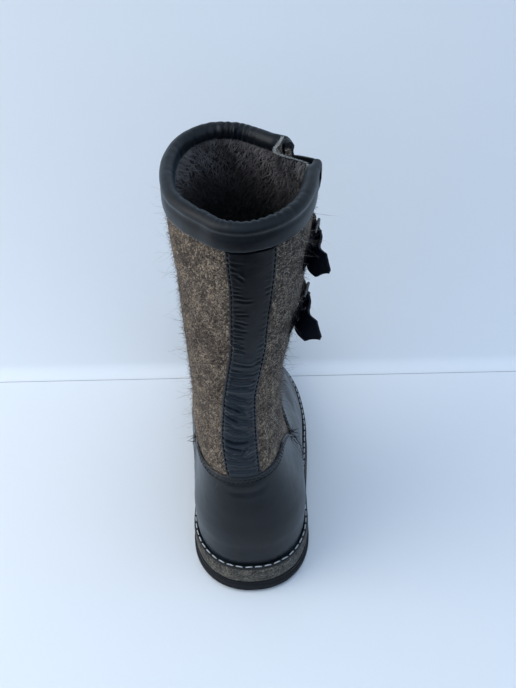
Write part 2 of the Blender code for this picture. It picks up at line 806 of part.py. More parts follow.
def tube(name, path, radius, normal, closed, look, collection, sides=8):
    """A round wire along a path in one plane."""
    sections = []
    last = len(path) - 1
    for k, point in enumerate(path):
        before = path[k - 1] if k or closed else point
        after = path[(k + 1) % len(path)] if k < last or closed else point
        across = (after - before).normalized().cross(normal).normalized()
        ring = []
        for j in range(sides):
            turn = TURN * (j + 0.5) / sides
            ring.append(point + radius * (math.cos(turn) * across + math.sin(turn) * normal))
        sections.append(ring)
    if not closed:
        return loft(name, sections, look, collection)
    mesh = bpy.data.meshes.new(name)
    form = bmesh.new()
    loops = [[form.verts.new(to_frame(point)) for point in ring] for ring in sections]
    for low, high in zip(loops, loops[1:] + loops[:1]):
        for j in range(sides):
            k = (j + 1) % sides
            form.faces.new((low[j], low[k], high[k], high[j]))
    bmesh.ops.recalc_face_normals(form, faces=form.faces)
    form.to_mesh(mesh)
    form.free()
    mesh.shade_smooth()
    return link(name, mesh, look, collection)


def buckle(row, axes, boot):
    """A wire frame and the prong that hangs on its rear bar."""
    slope = (FRONT_BAR_OUT - BAR_OUT) / FRAME_LENGTH
    corner = 3.2
    path = []
    for centre_s, centre_w, start in (
        (-corner, FRAME_HALF - corner, 0),
        (corner - FRAME_LENGTH, FRAME_HALF - corner, 90),
        (corner - FRAME_LENGTH, corner - FRAME_HALF, 180),
        (-corner, corner - FRAME_HALF, 270),
    ):
        for turn in (0, 30, 60, 90):
            angle = math.radians(start + turn)
            s = centre_s + corner * math.cos(angle)
            w = centre_w + corner * math.sin(angle)
            path.append(axes.place(s, BAR_OUT - slope * s, w))
    normal = (path[1] - path[0]).cross(path[2] - path[1]).normalized()
    tube(f"buckle_{row.name}", path, WIRE, normal, True, metal_material(), boot)
    eye = WIRE + GAP + PRONG
    path = []
    for turn in (-150, -120, -90, -60, -30, 0, 30, 60, 88):
        angle = math.radians(turn)
        path.append(axes.place(eye * math.cos(angle), BAR_OUT + eye * math.sin(angle)))
    tip_out = FRONT_BAR_OUT + WIRE + GAP + PRONG
    path.append(axes.place(-5.0, BAR_OUT + eye + 0.5))
    path.append(axes.place(-FRAME_LENGTH + 1.0, tip_out + 0.05))
    path.append(axes.place(-FRAME_LENGTH - 2.2, tip_out + 0.1))
    tube(f"prong_{row.name}", path, PRONG, axes.w, False, metal_material(), boot, sides=6)


# ---- building -----------------------------------------------------------------------------


def tread(cutters):
    """Grooves across the outsole, which leave its lugs."""
    mesh = bpy.data.meshes.new("tread_grooves")
    form = bmesh.new()
    for y in (16, 30, 62, 76, 145, 159, 177, 191, 205, 219, 233, 247, 261):
        floor = toe_spring(y)
        corners = []
        for dy, z in ((-1.6, floor - 4.0), (1.6, floor - 4.0), (1.6, floor + 2.4), (-1.6, floor + 2.4)):
            corners.append((y + dy, z))
        near = [form.verts.new(to_frame((-80.0, y, z))) for y, z in corners]
        far = [form.verts.new(to_frame((80.0, y, z))) for y, z in corners]
        form.faces.new(near)
        form.faces.new(far[::-1])
        for j in range(4):
            k = (j + 1) % 4
            form.faces.new((near[k], near[j], far[j], far[k]))
    bmesh.ops.recalc_face_normals(form, faces=form.faces)
    form.to_mesh(mesh)
    form.free()
    return cutter("tread_grooves", mesh, cutters)


def welt(look, collection):
    """The strip on the midsole that the leather is stitched to."""
    rows = []
    for inset, height in ((0.8, 0.0), (0.9, WELT), (5.4, WELT), (5.5, 0.0)):
        row = []
        for j in range(SOLE_POINTS):
            p = sole_outline(TURN * j / SOLE_POINTS, inset)
            row.append(Vector((p.x, p.y, UPPER_Z + height + toe_spring(p.y))))
        rows.append(row)
    return grid_object("welt", rows, look, collection, closed=True, rows_closed=True)


def main():
    for old in list(bpy.data.objects):
        bpy.data.objects.remove(old)
    boot = bpy.data.collections.new("felt_boot")
    cutters = bpy.data.collections.new("cutters")
    bpy.context.scene.collection.children.link(boot)
    bpy.context.scene.collection.children.link(cutters)
    outsole = stack_form("outsole", OUTSOLE_SIDE, 0.0, rubber_material(), boot, arch)
    cut(outsole, tread(cutters), "DIFFERENCE")
    stack_form("midsole", MIDSOLE_SIDE, OUTSOLE + GAP, grey_felt_material(), boot)
    welt(leather_material(), boot)
    stack_form("insole", INSOLE_SIDE, UPPER_Z, grey_felt_material(), boot)
    upper = grid_object("upper", ring_rows(0, TOP_LEVEL), felt_material(), boot, closed=True)
    solidify(upper, FELT, False)
    cut(upper, slit_cutter(cutters), "DIFFERENCE")
    galosh(boot, cutters)
    collar_binding(leather_material(), boot)
    gusset(felt_material(), boot)
    for row in STRAPS:
        axes = BuckleAxes(row.z, row.turn)
        strap(row, axes, boot, cutters)
        buckle_tab(row, axes, boot, cutters)
        buckle(row, axes, boot)


main()
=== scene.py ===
"""The looks of a felt winter boot: its felt, leather, lining, thread, metal and rubber.

Sizes are in millimetres and Y is counted from the back of the heel, until metres() moves a form
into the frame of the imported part.
"""

import json
import math
from collections import namedtuple

import bpy
import numpy as np
from mathutils import Matrix, Vector

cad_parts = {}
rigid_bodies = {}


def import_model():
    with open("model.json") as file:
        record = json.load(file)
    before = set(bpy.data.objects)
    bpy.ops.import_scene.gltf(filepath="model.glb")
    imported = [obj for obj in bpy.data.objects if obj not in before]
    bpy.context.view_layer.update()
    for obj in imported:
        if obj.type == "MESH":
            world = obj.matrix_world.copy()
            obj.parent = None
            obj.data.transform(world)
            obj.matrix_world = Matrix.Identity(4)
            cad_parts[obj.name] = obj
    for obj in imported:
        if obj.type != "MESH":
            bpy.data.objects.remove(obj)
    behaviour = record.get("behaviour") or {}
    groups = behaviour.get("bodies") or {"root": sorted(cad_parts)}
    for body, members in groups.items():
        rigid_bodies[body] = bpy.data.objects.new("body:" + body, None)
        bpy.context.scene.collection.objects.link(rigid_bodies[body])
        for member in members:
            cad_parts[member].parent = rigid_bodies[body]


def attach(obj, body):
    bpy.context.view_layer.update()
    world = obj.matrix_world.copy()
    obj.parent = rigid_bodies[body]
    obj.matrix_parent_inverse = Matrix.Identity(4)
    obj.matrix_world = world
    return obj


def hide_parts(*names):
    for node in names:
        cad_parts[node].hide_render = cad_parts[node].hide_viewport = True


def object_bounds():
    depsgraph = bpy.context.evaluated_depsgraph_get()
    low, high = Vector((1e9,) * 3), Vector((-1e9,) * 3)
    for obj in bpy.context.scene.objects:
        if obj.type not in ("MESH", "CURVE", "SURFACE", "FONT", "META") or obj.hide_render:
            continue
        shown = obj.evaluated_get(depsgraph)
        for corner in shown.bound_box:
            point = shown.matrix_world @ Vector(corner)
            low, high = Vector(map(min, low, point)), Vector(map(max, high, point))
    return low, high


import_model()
cad_box = [list(corner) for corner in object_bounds()]

MM = 0.001
TURN = 2 * math.pi
rng = np.random.default_rng(27)

# ---- sizes of the boot ----------------------------------------------------------------------

SOLE_LENGTH = 288.0
HEEL_REST_Y = 46.0
OUTSOLE = 11.0
FELT = 5.0
LEATHER = 1.6
GAP = 0.3
SEAM_GAP = 0.4
TOE_SPRING = 9.0
SPRING_START = 186.0
ARCH_START, ARCH_END, ARCH_RISE = 84.0, 136.0, 2.4
FEATHER_INSET = 9.4
MIDSOLE_Z = OUTSOLE + GAP
UPPER_Z = 25.1

PlanRow = namedtuple("PlanRow", "along swing half_width")
SOLE_PLAN = (
    PlanRow(0.00, 0.0, 47.0),
    PlanRow(0.20, 0.3, 47.5),
    PlanRow(0.36, 2.5, 47.1),
    PlanRow(0.48, 3.8, 49.2),
    PlanRow(0.60, 3.6, 52.0),
    PlanRow(0.72, 2.6, 51.2),
    PlanRow(0.85, -1.1, 49.9),
    PlanRow(1.00, -6.0, 46.0),
)
LAST_PLAN = (
    PlanRow(0.00, 0.0, 43.2),
    PlanRow(0.20, 0.9, 43.1),
    PlanRow(0.36, 1.6, 43.8),
    PlanRow(0.48, 1.5, 45.1),
    PlanRow(0.60, 0.8, 47.2),
    PlanRow(0.72, 0.0, 46.6),
    PlanRow(0.85, -2.5, 45.6),
    PlanRow(1.00, -6.0, 43.0),
)
HEEL_ROUND = 0.215
TOE_ROUND = 0.30
ROUND_POWER = 2.25

# The felt's outer face as rings, each laid from its back point to its front point.
Ring = namedtuple("Ring", "back_y back_z front_y front_z centre half_width foot_share collar_share")
RINGS = (
    Ring(9.4, 25.1, 278.6, 25.1, 0.0, 42.6, 1.00, 0.00),
    Ring(6.6, 36.0, 281.0, 37.0, -0.3, 45.6, 1.00, 0.00),
    Ring(5.2, 48.0, 278.0, 50.0, -0.5, 47.2, 1.00, 0.00),
    Ring(5.2, 60.0, 266.0, 61.0, -1.0, 46.0, 1.00, 0.00),
    Ring(6.5, 71.0, 246.0, 69.0, -1.8, 43.4, 0.95, 0.00),
    Ring(8.0, 82.0, 222.0, 77.0, -2.8, 40.4, 0.85, 0.00),
    Ring(10.0, 93.0, 195.0, 87.0, -4.0, 38.0, 0.70, 0.00),
    Ring(12.0, 105.0, 168.0, 101.0, -5.2, 36.0, 0.50, 0.00),
    Ring(13.5, 118.0, 146.0, 119.0, -6.4, 34.8, 0.30, 0.00),
    Ring(14.0, 134.0, 132.0, 142.0, -7.0, 34.2, 0.15, 0.00),
    Ring(13.5, 155.0, 125.0, 170.0, -6.7, 33.4, 0.00, 0.00),
    Ring(11.0, 188.0, 122.0, 202.0, -5.8, 35.4, 0.00, 0.00),
    Ring(7.0, 224.0, 123.5, 234.0, -2.8, 40.2, 0.00, 0.15),
    Ring(3.0, 262.0, 126.5, 268.0, 0.0, 44.2, 0.00, 0.40),
    Ring(-1.0, 300.0, 131.0, 304.0, 0.9, 48.1, 0.00, 0.75),
    Ring(-3.5, 334.0, 134.5, 338.0, 1.7, 49.0, 0.00, 1.00),
)
TOP_LEVEL = len(RINGS) - 1.0
BULGE_LEVEL = 2.0
# How much narrower the foot gets above its feather over the instep and over the toes, and between
# which shares of its length.
INSTEP_SLIM, INSTEP_SPAN = 0.22, (0.44, 0.72)
TOE_SLIM, TOE_SPAN = 0.13, (0.58, 0.86)
OVAL_POWER = 0.93
NUDGE = 0.02  # a small step of angle or level, over which directions are read
# How far the collar stands out from its oval, by degrees round from the back.
COLLAR = (
    (0, -0.5),
    (20, -2.0),
    (45, -1.8),
    (70, -1.0),
    (88, 0.6),
    (100, 4.0),
    (112, -2.5),
    (122, -6.0),
    (131, -4.8),
    (140, -8.6),
    (152, -9.3),
    (165, -7.6),
    (180, -2.5),
    (200, 3.2),
    (222, 4.8),
    (242, 3.4),
    (270, 1.0),
    (290, 0.0),
    (306, -2.8),
    (325, -4.8),
    (341, -2.4),
    (360, -0.5),
)


def metres(points):
    """Points in millimetres from the heel's back, as metres in the part's frame."""
    return (np.asarray(points, float) - (0.0, HEEL_REST_Y, 0.0)) * MM


def curve_through(values, place):
    """Values at fractional indices, on a smooth curve through evenly spaced rows."""
    values = np.asarray(values, float)
    last = len(values) - 1
    i = np.clip(np.floor(place).astype(int), 0, last - 1)
    t, first, final = place - i, i == 0, i == last - 1
    if values.ndim > 1:
        t, first, final = t[..., None], first[..., None], final[..., None]
    a, b = values[i], values[i + 1]
    before = np.where(first, 2 * a - b, values[np.maximum(i - 1, 0)])
    after = np.where(final, 2 * b - a, values[np.minimum(i + 2, last)])
    rise_a, rise_b = (b - before) / 2, (after - a) / 2
    return (
        a * (1 + 2 * t) * (1 - t) ** 2
        + rise_a * t * (1 - t) ** 2
        + b * t * t * (3 - 2 * t)
        - rise_b * t * t * (1 - t)
    )


def from_table(keys, values, at):
    """A table's values at positions of its key column."""
    return curve_through(values, np.interp(at, keys, np.arange(len(keys))))


def mix(a, b, share):
    return a + (b - a) * share


def soft_step(low, high, at):
    t = np.clip((at - low) / (high - low), 0.0, 1.0)
    return t * t * (3 - 2 * t)


def bump(distance, width):
    """A soft bell: 1 in its middle, and almost 0 at two widths from it."""
    return np.exp(-((distance / width) ** 2))


def unit(vectors):
    return vectors / np.maximum(1e-9, np.linalg.norm(vectors, axis=-1, keepdims=True))


def toe_spring(y):
    run = np.maximum(0.0, y - SPRING_START) / (SOLE_LENGTH - SPRING_START)
    return TOE_SPRING * run * run


def arch(y):
    run = np.clip((y - ARCH_START) / (ARCH_END - ARCH_START), 0.0, 1.0)
    return ARCH_RISE * np.minimum(1.0, 2.2 * np.sin(math.pi * run))


def plan_edge(plan, angle):
    """A plan's outline: x in mm and y as a share of the length. Angle 0 is the heel's back."""
    along = (1 - np.cos(angle)) / 2
    keys = [row.along for row in plan]
    end = np.minimum(np.minimum(along / HEEL_ROUND, (1 - along) / TOE_ROUND), 1.0)
    end = (1 - (1 - end) ** ROUND_POWER) ** (1 / ROUND_POWER)
    half = from_table(keys, [row.half_width for row in plan], along) * end
    swing = from_table(keys, [row.swing for row in plan], along)
    side = np.where(np.sin(angle) >= 0, 1.0, -1.0)
    return swing + side * half, along


def sole_outline(angle, inset=0.0):
    """The sole's outline moved inwards by inset, as x and y columns."""
    angle, inset = np.asarray(angle, float), np.asarray(inset, float)
    x, along = plan_edge(SOLE_PLAN, angle)
    ahead_x, ahead = plan_edge(SOLE_PLAN, angle + 0.01)
    behind_x, behind = plan_edge(SOLE_PLAN, angle - 0.01)
    run = unit(np.stack([ahead_x - behind_x, (ahead - behind) * SOLE_LENGTH], -1))
    return np.stack([x - inset * run[..., 1], along * SOLE_LENGTH + inset * run[..., 0]], -1)


FEATHER_HEEL_Y = sole_outline(0.0, FEATHER_INSET)[1]
FEATHER_TOE_Y = sole_outline(math.pi, FEATHER_INSET)[1]
FEATHER_HALF = max(row.half_width for row in SOLE_PLAN) - FEATHER_INSET
LAST_HALF = max(row.half_width for row in LAST_PLAN)


def felt_ring(angle, level):
    """Points of the felt's outer face. level counts the rows of RINGS."""
    angle, level = np.broadcast_arrays(np.asarray(angle, float), np.asarray(level, float))
    row = curve_through(np.array(RINGS), level)
    back_y, back_z, front_y, front_z, centre, half, foot, collar = np.moveaxis(row, -1, 0)
    feather = sole_outline(angle, FEATHER_INSET)
    feather_along = (feather[..., 1] - FEATHER_HEEL_Y) / (FEATHER_TOE_Y - FEATHER_HEEL_Y)
    last_x, last_along = plan_edge(LAST_PLAN, angle)
    bulge = np.minimum(1.0, level / BULGE_LEVEL)
    instep = soft_step(*INSTEP_SPAN, last_along) * np.clip((level - 1.0) / 3.0, 0.0, 1.0)
    toes = soft_step(*TOE_SPAN, last_along) * np.clip((level - 0.4) / 1.2, 0.0, 1.0)
    slim = INSTEP_SLIM * instep + TOE_SLIM * toes
    foot_x = mix(feather[..., 0] / FEATHER_HALF, last_x / LAST_HALF, bulge) * (1 - slim)
    foot_along = mix(feather_along, last_along, bulge)
    oval_x = np.sign(np.sin(angle)) * np.abs(np.sin(angle)) ** OVAL_POWER
    share = np.clip(foot, 0.0, 1.0)
    along = mix((1 - np.cos(angle)) / 2, foot_along, share)
    x = centre + half * mix(oval_x, foot_x, share)
    y, z = mix(back_y, front_y, along), mix(back_z, front_z, along)
    turn, stand = zip(*COLLAR)
    out = collar * from_table(turn, stand, np.degrees(angle) % 360)
    away = unit(np.stack([np.sin(angle) / half, -np.cos(angle) / ((front_y - back_y) / 2)], -1))
    x, y = x + out * away[..., 0], y + out * away[..., 1]
    return np.stack([x, y, z + share * toe_spring(y)], -1)


def face_frame(angle, level):
    """Points of the felt's outer face, with the directions round, up and outwards."""
    low, high = np.maximum(0.0, level - NUDGE), np.minimum(TOP_LEVEL, level + NUDGE)
    round_it = unit(felt_ring(angle + NUDGE, level) - felt_ring(angle - NUDGE, level))
    up = unit(felt_ring(angle, high) - felt_ring(angle, low))
    return felt_ring(angle, level), round_it, up, unit(np.cross(round_it, up))


def upper_face(angle, level, out=0.0):
    point, _, _, outward = face_frame(angle, level)
    return point + np.asarray(out, float)[..., None] * outward


def solve(low, high, above):
    """Bisects arrays of limits for the place where above() turns true."""
    low, high = np.array(low, float), np.array(high, float)
    for _ in range(26):
        middle = (low + high) / 2
        past = above(middle)
        low, high = np.where(past, low, middle), np.where(past, middle, high)
    return (low + high) / 2


def level_at(angle, z):
    angle, z = np.broadcast_arrays(np.asarray(angle, float), np.asarray(z, float))
    return solve(0 * z, 0 * z + TOP_LEVEL, lambda level: felt_ring(angle, level)[..., 2] > z)


# ---- modelling helpers ----------------------------------------------------------------------


def nothing_selected():
    for thing in bpy.context.view_layer.objects:
        thing.select_set(False)


def only(piece):
    nothing_selected()
    piece.select_set(True)
    bpy.context.view_layer.objects.active = piece


def on_all_of(piece, operator, **settings):
    """Runs an edit-mode operator on the whole of a piece."""
    only(piece)
    bpy.ops.object.mode_set(mode="EDIT")
    bpy.ops.mesh.select_all(action="SELECT")
    operator(**settings)
    bpy.ops.object.mode_set(mode="OBJECT")


def get_points(piece):
    flat = np.empty(len(piece.data.vertices) * 3)
    piece.data.vertices.foreach_get("co", flat)
    return flat.reshape(-1, 3)


def set_points(piece, points):
    piece.data.vertices.foreach_set("co", np.asarray(points, float).ravel())
    piece.data.update()


def wrapped(name, columns, rows, place, joined=False):
    """A flat grid laid on the boot: place(u, v) gives its points, u round and v upwards."""
    nothing_selected()
    bpy.ops.mesh.primitive_grid_add(x_subdivisions=columns, y_subdivisions=rows, size=2)
    piece = bpy.context.active_object
    piece.name = piece.data.name = name
    flat = get_points(piece)
    u, v = np.round(flat[:, 0] / 2 + 0.5, 7), np.round(flat[:, 1] / 2 + 0.5, 7)
    set_points(piece, metres(place(u, v)))
    if joined:
        on_all_of(piece, bpy.ops.mesh.remove_doubles, threshold=0.00002)
    return piece


def new_piece(name, points, faces):
    mesh = bpy.data.meshes.new(name)
    mesh.from_pydata(points.tolist(), [], faces)
    piece = bpy.data.objects.new(name, mesh)
    bpy.context.scene.collection.objects.link(piece)
    return piece


def add_step(piece, kind, **settings):
    """Adds a modifier and applies it."""
    only(piece)
    step = piece.modifiers.new(kind.lower(), kind)
    for key, value in settings.items():
        setattr(step, key, value)
    bpy.ops.object.modifier_apply(modifier=step.name)


def thicken(piece, wall, **settings):
    """Gives a sheet its wall, inwards from the face it was laid on."""
    add_step(piece, "SOLIDIFY", thickness=wall * MM, offset=-1.0, **settings)


def soften_edges(piece, width, segments=2, angle=50):
    limit = {"limit_method": "ANGLE", "angle_limit": math.radians(angle)}
    add_step(piece, "BEVEL", width=width * MM, segments=segments, **limit)


def roughen(piece, size, height, depth=1):
    """Moves a surface softly in and out, by height in mm over lumps of a size in mm."""
    lumps = bpy.data.textures.new(piece.name + "_lumps", "CLOUDS")
    lumps.noise_scale, lumps.noise_depth = size * MM, depth
    add_step(piece, "DISPLACE", texture=lumps, texture_coords="LOCAL", strength=height * MM)


def cut_away(piece, tool):
    """Takes the shape of a tool out of a piece."""
    add_step(piece, "BOOLEAN", operation="DIFFERENCE", object=tool, solver="EXACT")
    bpy.data.objects.remove(tool)


def paint(piece, *finishes):
    """Gives a piece its materials: the first for a wall's outside, the next for inside and rim."""
    for finish in finishes:
        piece.data.materials.append(finish)


def smooth_shading(piece, angle=40):
    only(piece)
    bpy.ops.object.shade_smooth_by_angle(angle=math.radians(angle))


def dress(piece, slot, finish, *nodes):
    """Gives a finished piece its body and its material, and hides the solids it stands for. Its
    slot is not used.
    """
    if finish:
        paint(piece, finish)
    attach(piece, "root")
    if nodes:
        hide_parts(*nodes)


def repeated(name, pattern, places):
    """Copies of a small pattern's mesh, joined. Each place is an origin in mm and three axes."""
    points = get_points(pattern)
    sides = [list(face.vertices) for face in pattern.data.polygons]
    all_points, all_faces = [], []
    for number, (origin, *axes) in enumerate(places):
        all_points.append(points @ np.array(axes) + metres(origin))
        all_faces += [[corner + number * len(points) for corner in side] for side in sides]
    piece = new_piece(name, np.concatenate(all_points), all_faces)
    piece.data.polygons.foreach_set("use_smooth", [True] * len(all_faces))
    bpy.data.objects.remove(pattern)
    return piece


# ---- finishes -------------------------------------------------------------------------------


class Wire:
    """A value in a material, or a link that carries one, with arithmetic."""

    def __init__(self, finish, socket):
        self.finish, self.socket = finish, socket

    def maths(self, operation, *values):
        return self.finish.node("ShaderNodeMath", {"operation": operation}, dict(enumerate(values)))

    def __add__(self, other):
        return self.maths("ADD", self, other)

    def __sub__(self, other):
        return self.maths("SUBTRACT", self, other)

    def __rsub__(self, other):
        return self.maths("SUBTRACT", other, self)

    def __mul__(self, other):
        return self.maths("MULTIPLY", self, other)

    __radd__, __rmul__ = __add__, __mul__

    def highest(self, other):
        return self.maths("MAXIMUM", self, other)

    def above(self, low, high):
        """Rises smoothly from 0 to 1 between two values."""
        sockets = {"Value": self, "From Min": low, "From Max": high}
        return self.finish.node("ShaderNodeMapRange", {"interpolation_type": "SMOOTHSTEP"}, sockets)


# Painted shade: a cool tint that stands in for the shade on the boot's outer side, away from the
# window, and how far across it comes in.
SHADE_SIDE_TINT, SHADE_SIDE_SPAN = (0.98, 1.05, 1.13), (6.0, 30.0)


class Finish:
    """A material in the making. Colours are given without their alpha."""

    def __init__(self, name, **sockets):
        self.material = bpy.data.materials.new(name)
        self.material.use_nodes = True
        self.tree = self.material.node_tree
        self.surface = next(n for n in self.tree.nodes if n.type == "BSDF_PRINCIPLED")
        for key, value in sockets.items():
            self.join(value, self.surface.inputs[key.replace("_", " ")])

    def join(self, value, socket):
        if isinstance(value, Wire):
            self.tree.links.new(value.socket, socket)
        else:
            socket.default_value = (*value, 1.0) if socket.type == "RGBA" else value

    def node(self, kind, settings=None, sockets=None, out=0):
        made = self.tree.nodes.new(kind)
        settings = dict(settings or {})
        stops = settings.pop("stops", ())
        for key, value in settings.items():
            setattr(made, key, value)
        if stops:
            ramp = made.color_ramp.elements
            for end in (0, -1):
                ramp[end].position, ramp[end].color = stops[end][0], (*stops[end][1], 1)
            for place, colour in stops[1:-1]:
                ramp.new(place).color = (*colour, 1)
        for key, value in (sockets or {}).items():
            self.join(value, made.inputs[key])
        return Wire(self, made.outputs[out])

    def place(self, size=(1, 1, 1), turn=(0, 0, 0)):
        """Coordinates turned by degrees and counted in lumps of a size in mm."""
        sockets = {
            "Vector": self.node("ShaderNodeTexCoord", out="Object"),
            "Rotation": [math.radians(t) for t in turn],
            "Scale": [MM * s for s in size],
        }
        return self.node("ShaderNodeMapping", {"vector_type": "TEXTURE"}, sockets)

    def distance(self, axis):
        """Distance in mm along an axis of the part's frame."""
        return self.node("ShaderNodeSeparateXYZ", {}, {"Vector": self.place()}, out=axis)

    def noise(self, size, detail=2.0, roughness=0.5, warp=0.0, turn=(0, 0, 0)):
        """Soft noise with lumps of a size in mm, or of three sizes along turned axes."""
        size = size if isinstance(size, tuple) else (size,) * 3
        sockets = {
            "Vector": self.place(size, turn),
            "Scale": 1.0,
            "Detail": detail,
            "Roughness": roughness,
            "Distortion": warp,
        }
        return self.node("ShaderNodeTexNoise", {}, sockets)

    def ramp(self, value, *stops):
        return self.node("ShaderNodeValToRGB", {"stops": stops}, {"Fac": value})

    def blend(self, share, one, other, how="MIX"):
        settings = {"data_type": "RGBA", "blend_type": how}
        return self.node("ShaderNodeMix", settings, {0: share, 6: one, 7: other}, out=2)

    def shade_side_tint(self, colour):
        """A colour under painted shade, which turns it cooler and greyer towards the boot's outer
        side.
        """
        return self.blend(self.distance(0).above(*SHADE_SIDE_SPAN), colour, SHADE_SIDE_TINT, "MULTIPLY")

    def colour(self, value):
        self.join(value, self.surface.inputs["Base Color"])

    def rough(self, value):
        self.join(value, self.surface.inputs["Roughness"])

    def relief(self, height, depth):
        """Bump from a height in 0 to 1 that stands depth mm."""
        sockets = {"Height": height, "Distance": depth * MM, "Strength": 1.0}
        self.join(self.node("ShaderNodeBump", {}, sockets), self.surface.inputs["Normal"])


# Degrees by which a felt's strands are turned out of the upright.
PALE_WOOL_TURNS = (70, 10, 0), (20, 60, 40), (90, 50, 80), (0, 20, 10)
DARK_WOOL_TURNS = (40, 10, 60), (80, 20, 120), (10, 70, 15)


def streaks(finish, size, length, directions):
    """The strongest of a few noises drawn out along different directions."""
    found = None
    for turn in directions:
        one = finish.noise((size, size, length), 1.5, 0.55, 0.8, turn)
        found = one if found is None else found.highest(one)
    return found


def felt_finish(name, dark, middle, light, fleck=1.0, patch=16.0):
    """Heathered felt: pale and dark wool drawn out in all directions over soft patches, under a
    painted shade tint on the boot's outer side.
    """
    finish = Finish(
        name, Roughness=0.95, Specular_IOR_Level=0.15, Sheen_Weight=0.05, Sheen_Roughness=0.6
    )
    patches = finish.noise(patch, 3.0, 0.6)
    grains = finish.noise(1.4 * fleck, 4.0, 0.7, 1.0)
    pale = streaks(finish, 0.7 * fleck, 4.5 * fleck, PALE_WOOL_TURNS)
    deep = streaks(finish, 1.1 * fleck, 4.0 * fleck, DARK_WOOL_TURNS)
    tone = grains * 0.8 + patches * 0.4 + pale * 0.9 - deep * 0.8 - 0.15
    half = tuple(0.5 * (a + b) for a, b in zip(dark, middle))
    stops = (0.32, dark), (0.41, half), (0.48, middle), (0.56, middle), (0.70, light)
    # The felt's colour is tinted by painted shade towards the boot's outer side.
    finish.colour(finish.shade_side_tint(finish.ramp(tone, *stops)))
    finish.relief(grains * 0.8 + pale * 0.6 - deep * 0.4, 0.9)
    return finish.material


PAINTED_LIGHT_SPAN = (285.0, 175.0)  # heights between which painted light makes a stay paler towards its foot
BLOOM_TINT = (0.45, 0.78, 1.0)


def leather_finish(
    name, colour, worn, rough, grain=0.9, relief=0.10, shine=0.32, bloom=0.0, low=None
):
    """Dyed leather: pebbled grain, soft patches, a blue bloom at its edges, and painted light that
    makes its foot paler where low is given.
    """
    bloomed = {"Sheen_Weight": bloom, "Sheen_Roughness": 0.35, "Sheen_Tint": BLOOM_TINT}
    finish = Finish(name, Specular_IOR_Level=shine, **bloomed)
    patches = finish.noise(22.0, 3.0, 0.55)
    fine = finish.noise(0.55, 2.0, 0.6)
    sockets = {"Vector": finish.place((grain,) * 3), "Scale": 1.0, "Smoothness": 0.6}
    cells = finish.node("ShaderNodeTexVoronoi", {"feature": "SMOOTH_F1"}, sockets)
    dye = finish.blend(patches.above(0.42, 0.72) * 0.55, colour, worn)
    if low:
        # Painted light: a low colour pales the leather towards its foot, for the stronger light on
        # its lower part.
        dye = finish.blend(finish.distance(2).above(*PAINTED_LIGHT_SPAN) * 0.9, dye, low)
    finish.colour(dye)
    finish.rough(rough + (patches - 0.5) * 0.16 + (fine - 0.5) * 0.10)
    finish.relief((1.0 - cells) * 0.7 + fine * 0.45, relief)
    return finish.material


def rubber_finish():
    finish = Finish("black_rubber", Specular_IOR_Level=0.2)
    dust = finish.noise(9.0, 4.0, 0.65)
    specks = finish.noise(0.8, 2.0, 0.7)
    share = dust.above(0.52, 0.8) * 0.5 + specks.above(0.62, 0.8) * 0.25
    finish.colour(finish.blend(share, (0.005, 0.0055, 0.007), (0.022, 0.022, 0.022)))
    finish.rough(0.62 + (dust - 0.5) * 0.3)
    finish.relief(specks, 0.12)
    return finish.material


def metal_finish():
    finish = Finish("dark_nickel", Metallic=1.0)
    scratches = finish.noise((0.12, 0.12, 2.2), 2.0, 0.5, 0.4, (30, 40, 0))
    tarnish = finish.noise(2.5, 3.0).above(0.4, 0.75)
    finish.colour(finish.blend(tarnish, (0.11, 0.11, 0.115), (0.05, 0.048, 0.046)))
    finish.rough(0.22 + scratches * 0.25)
    finish.relief(scratches, 0.03)
    return finish.material


def thread_finish(name, colour):
    """Waxed thread, twisted along its length."""
    finish = Finish(name, Roughness=0.8, Specular_IOR_Level=0.2)
    twist = finish.noise((0.35, 0.35, 0.9), 1.0, 0.5, 0.0, (45, 30, 0))
    shade = tuple(0.55 * part for part in colour)
    finish.colour(finish.blend(twist.above(0.35, 0.6), shade, colour))
    finish.relief(twist, 0.15)
    return finish.material


def hair_finish(name, *stops, shade_tinted=False):
    """Wool hairs, each with a tone of its own."""
    finish = Finish(name, Roughness=0.75, Specular_IOR_Level=0.25)
    tone = finish.node("ShaderNodeAttribute", {"attribute_name": "tone"}, out=2)
    colour = finish.ramp(tone, *stops)
    # On the wool hairs the colour can take the painted shade tint of the boot's outer side.
    finish.colour(finish.shade_side_tint(colour) if shade_tinted else colour)
    return finish.material


brown_felt = felt_finish(
    "brown_felt", (0.008, 0.006, 0.004), (0.082, 0.058, 0.041), (0.42, 0.32, 0.22), 1.25
)
sole_felt = felt_finish(
    "sole_felt", (0.012, 0.010, 0.008), (0.064, 0.056, 0.046), (0.18, 0.155, 0.12), 1.2, 7.0
)
lining = felt_finish(
    "brown_pile", (0.004, 0.0035, 0.003), (0.013, 0.011, 0.010), (0.045, 0.038, 0.034), 2.0
)
cream_edge = felt_finish(
    "cream_edge", (0.06, 0.05, 0.045), (0.36, 0.34, 0.30), (0.66, 0.64, 0.58), 0.7, 5.0
)
galosh_leather = leather_finish(
    "galosh_leather", (0.0022, 0.0035, 0.0053), (0.0050, 0.0073, 0.0108), 0.36, bloom=0.07
)
stay_leather = leather_finish(
    "stay_leather",
    (0.0004, 0.0011, 0.0022),
    (0.0014, 0.0026, 0.0042),
    0.31,
    0.8,
    shine=0.27,
    # its low colour is painted light that pales the stay towards its foot
    low=(0.0118, 0.0162, 0.0220),
)
collar_leather = leather_finish(
    "collar_leather",
    (0.0020, 0.0030, 0.0046),
    (0.0054, 0.0074, 0.0102),
    0.40,
    0.8,
    shine=0.27,
    bloom=0.085,
)
strap_leather = leather_finish(
    "strap_leather", (0.0004, 0.0016, 0.0052), (0.0012, 0.0030, 0.0074), 0.55, 0.7, shine=0.15
)
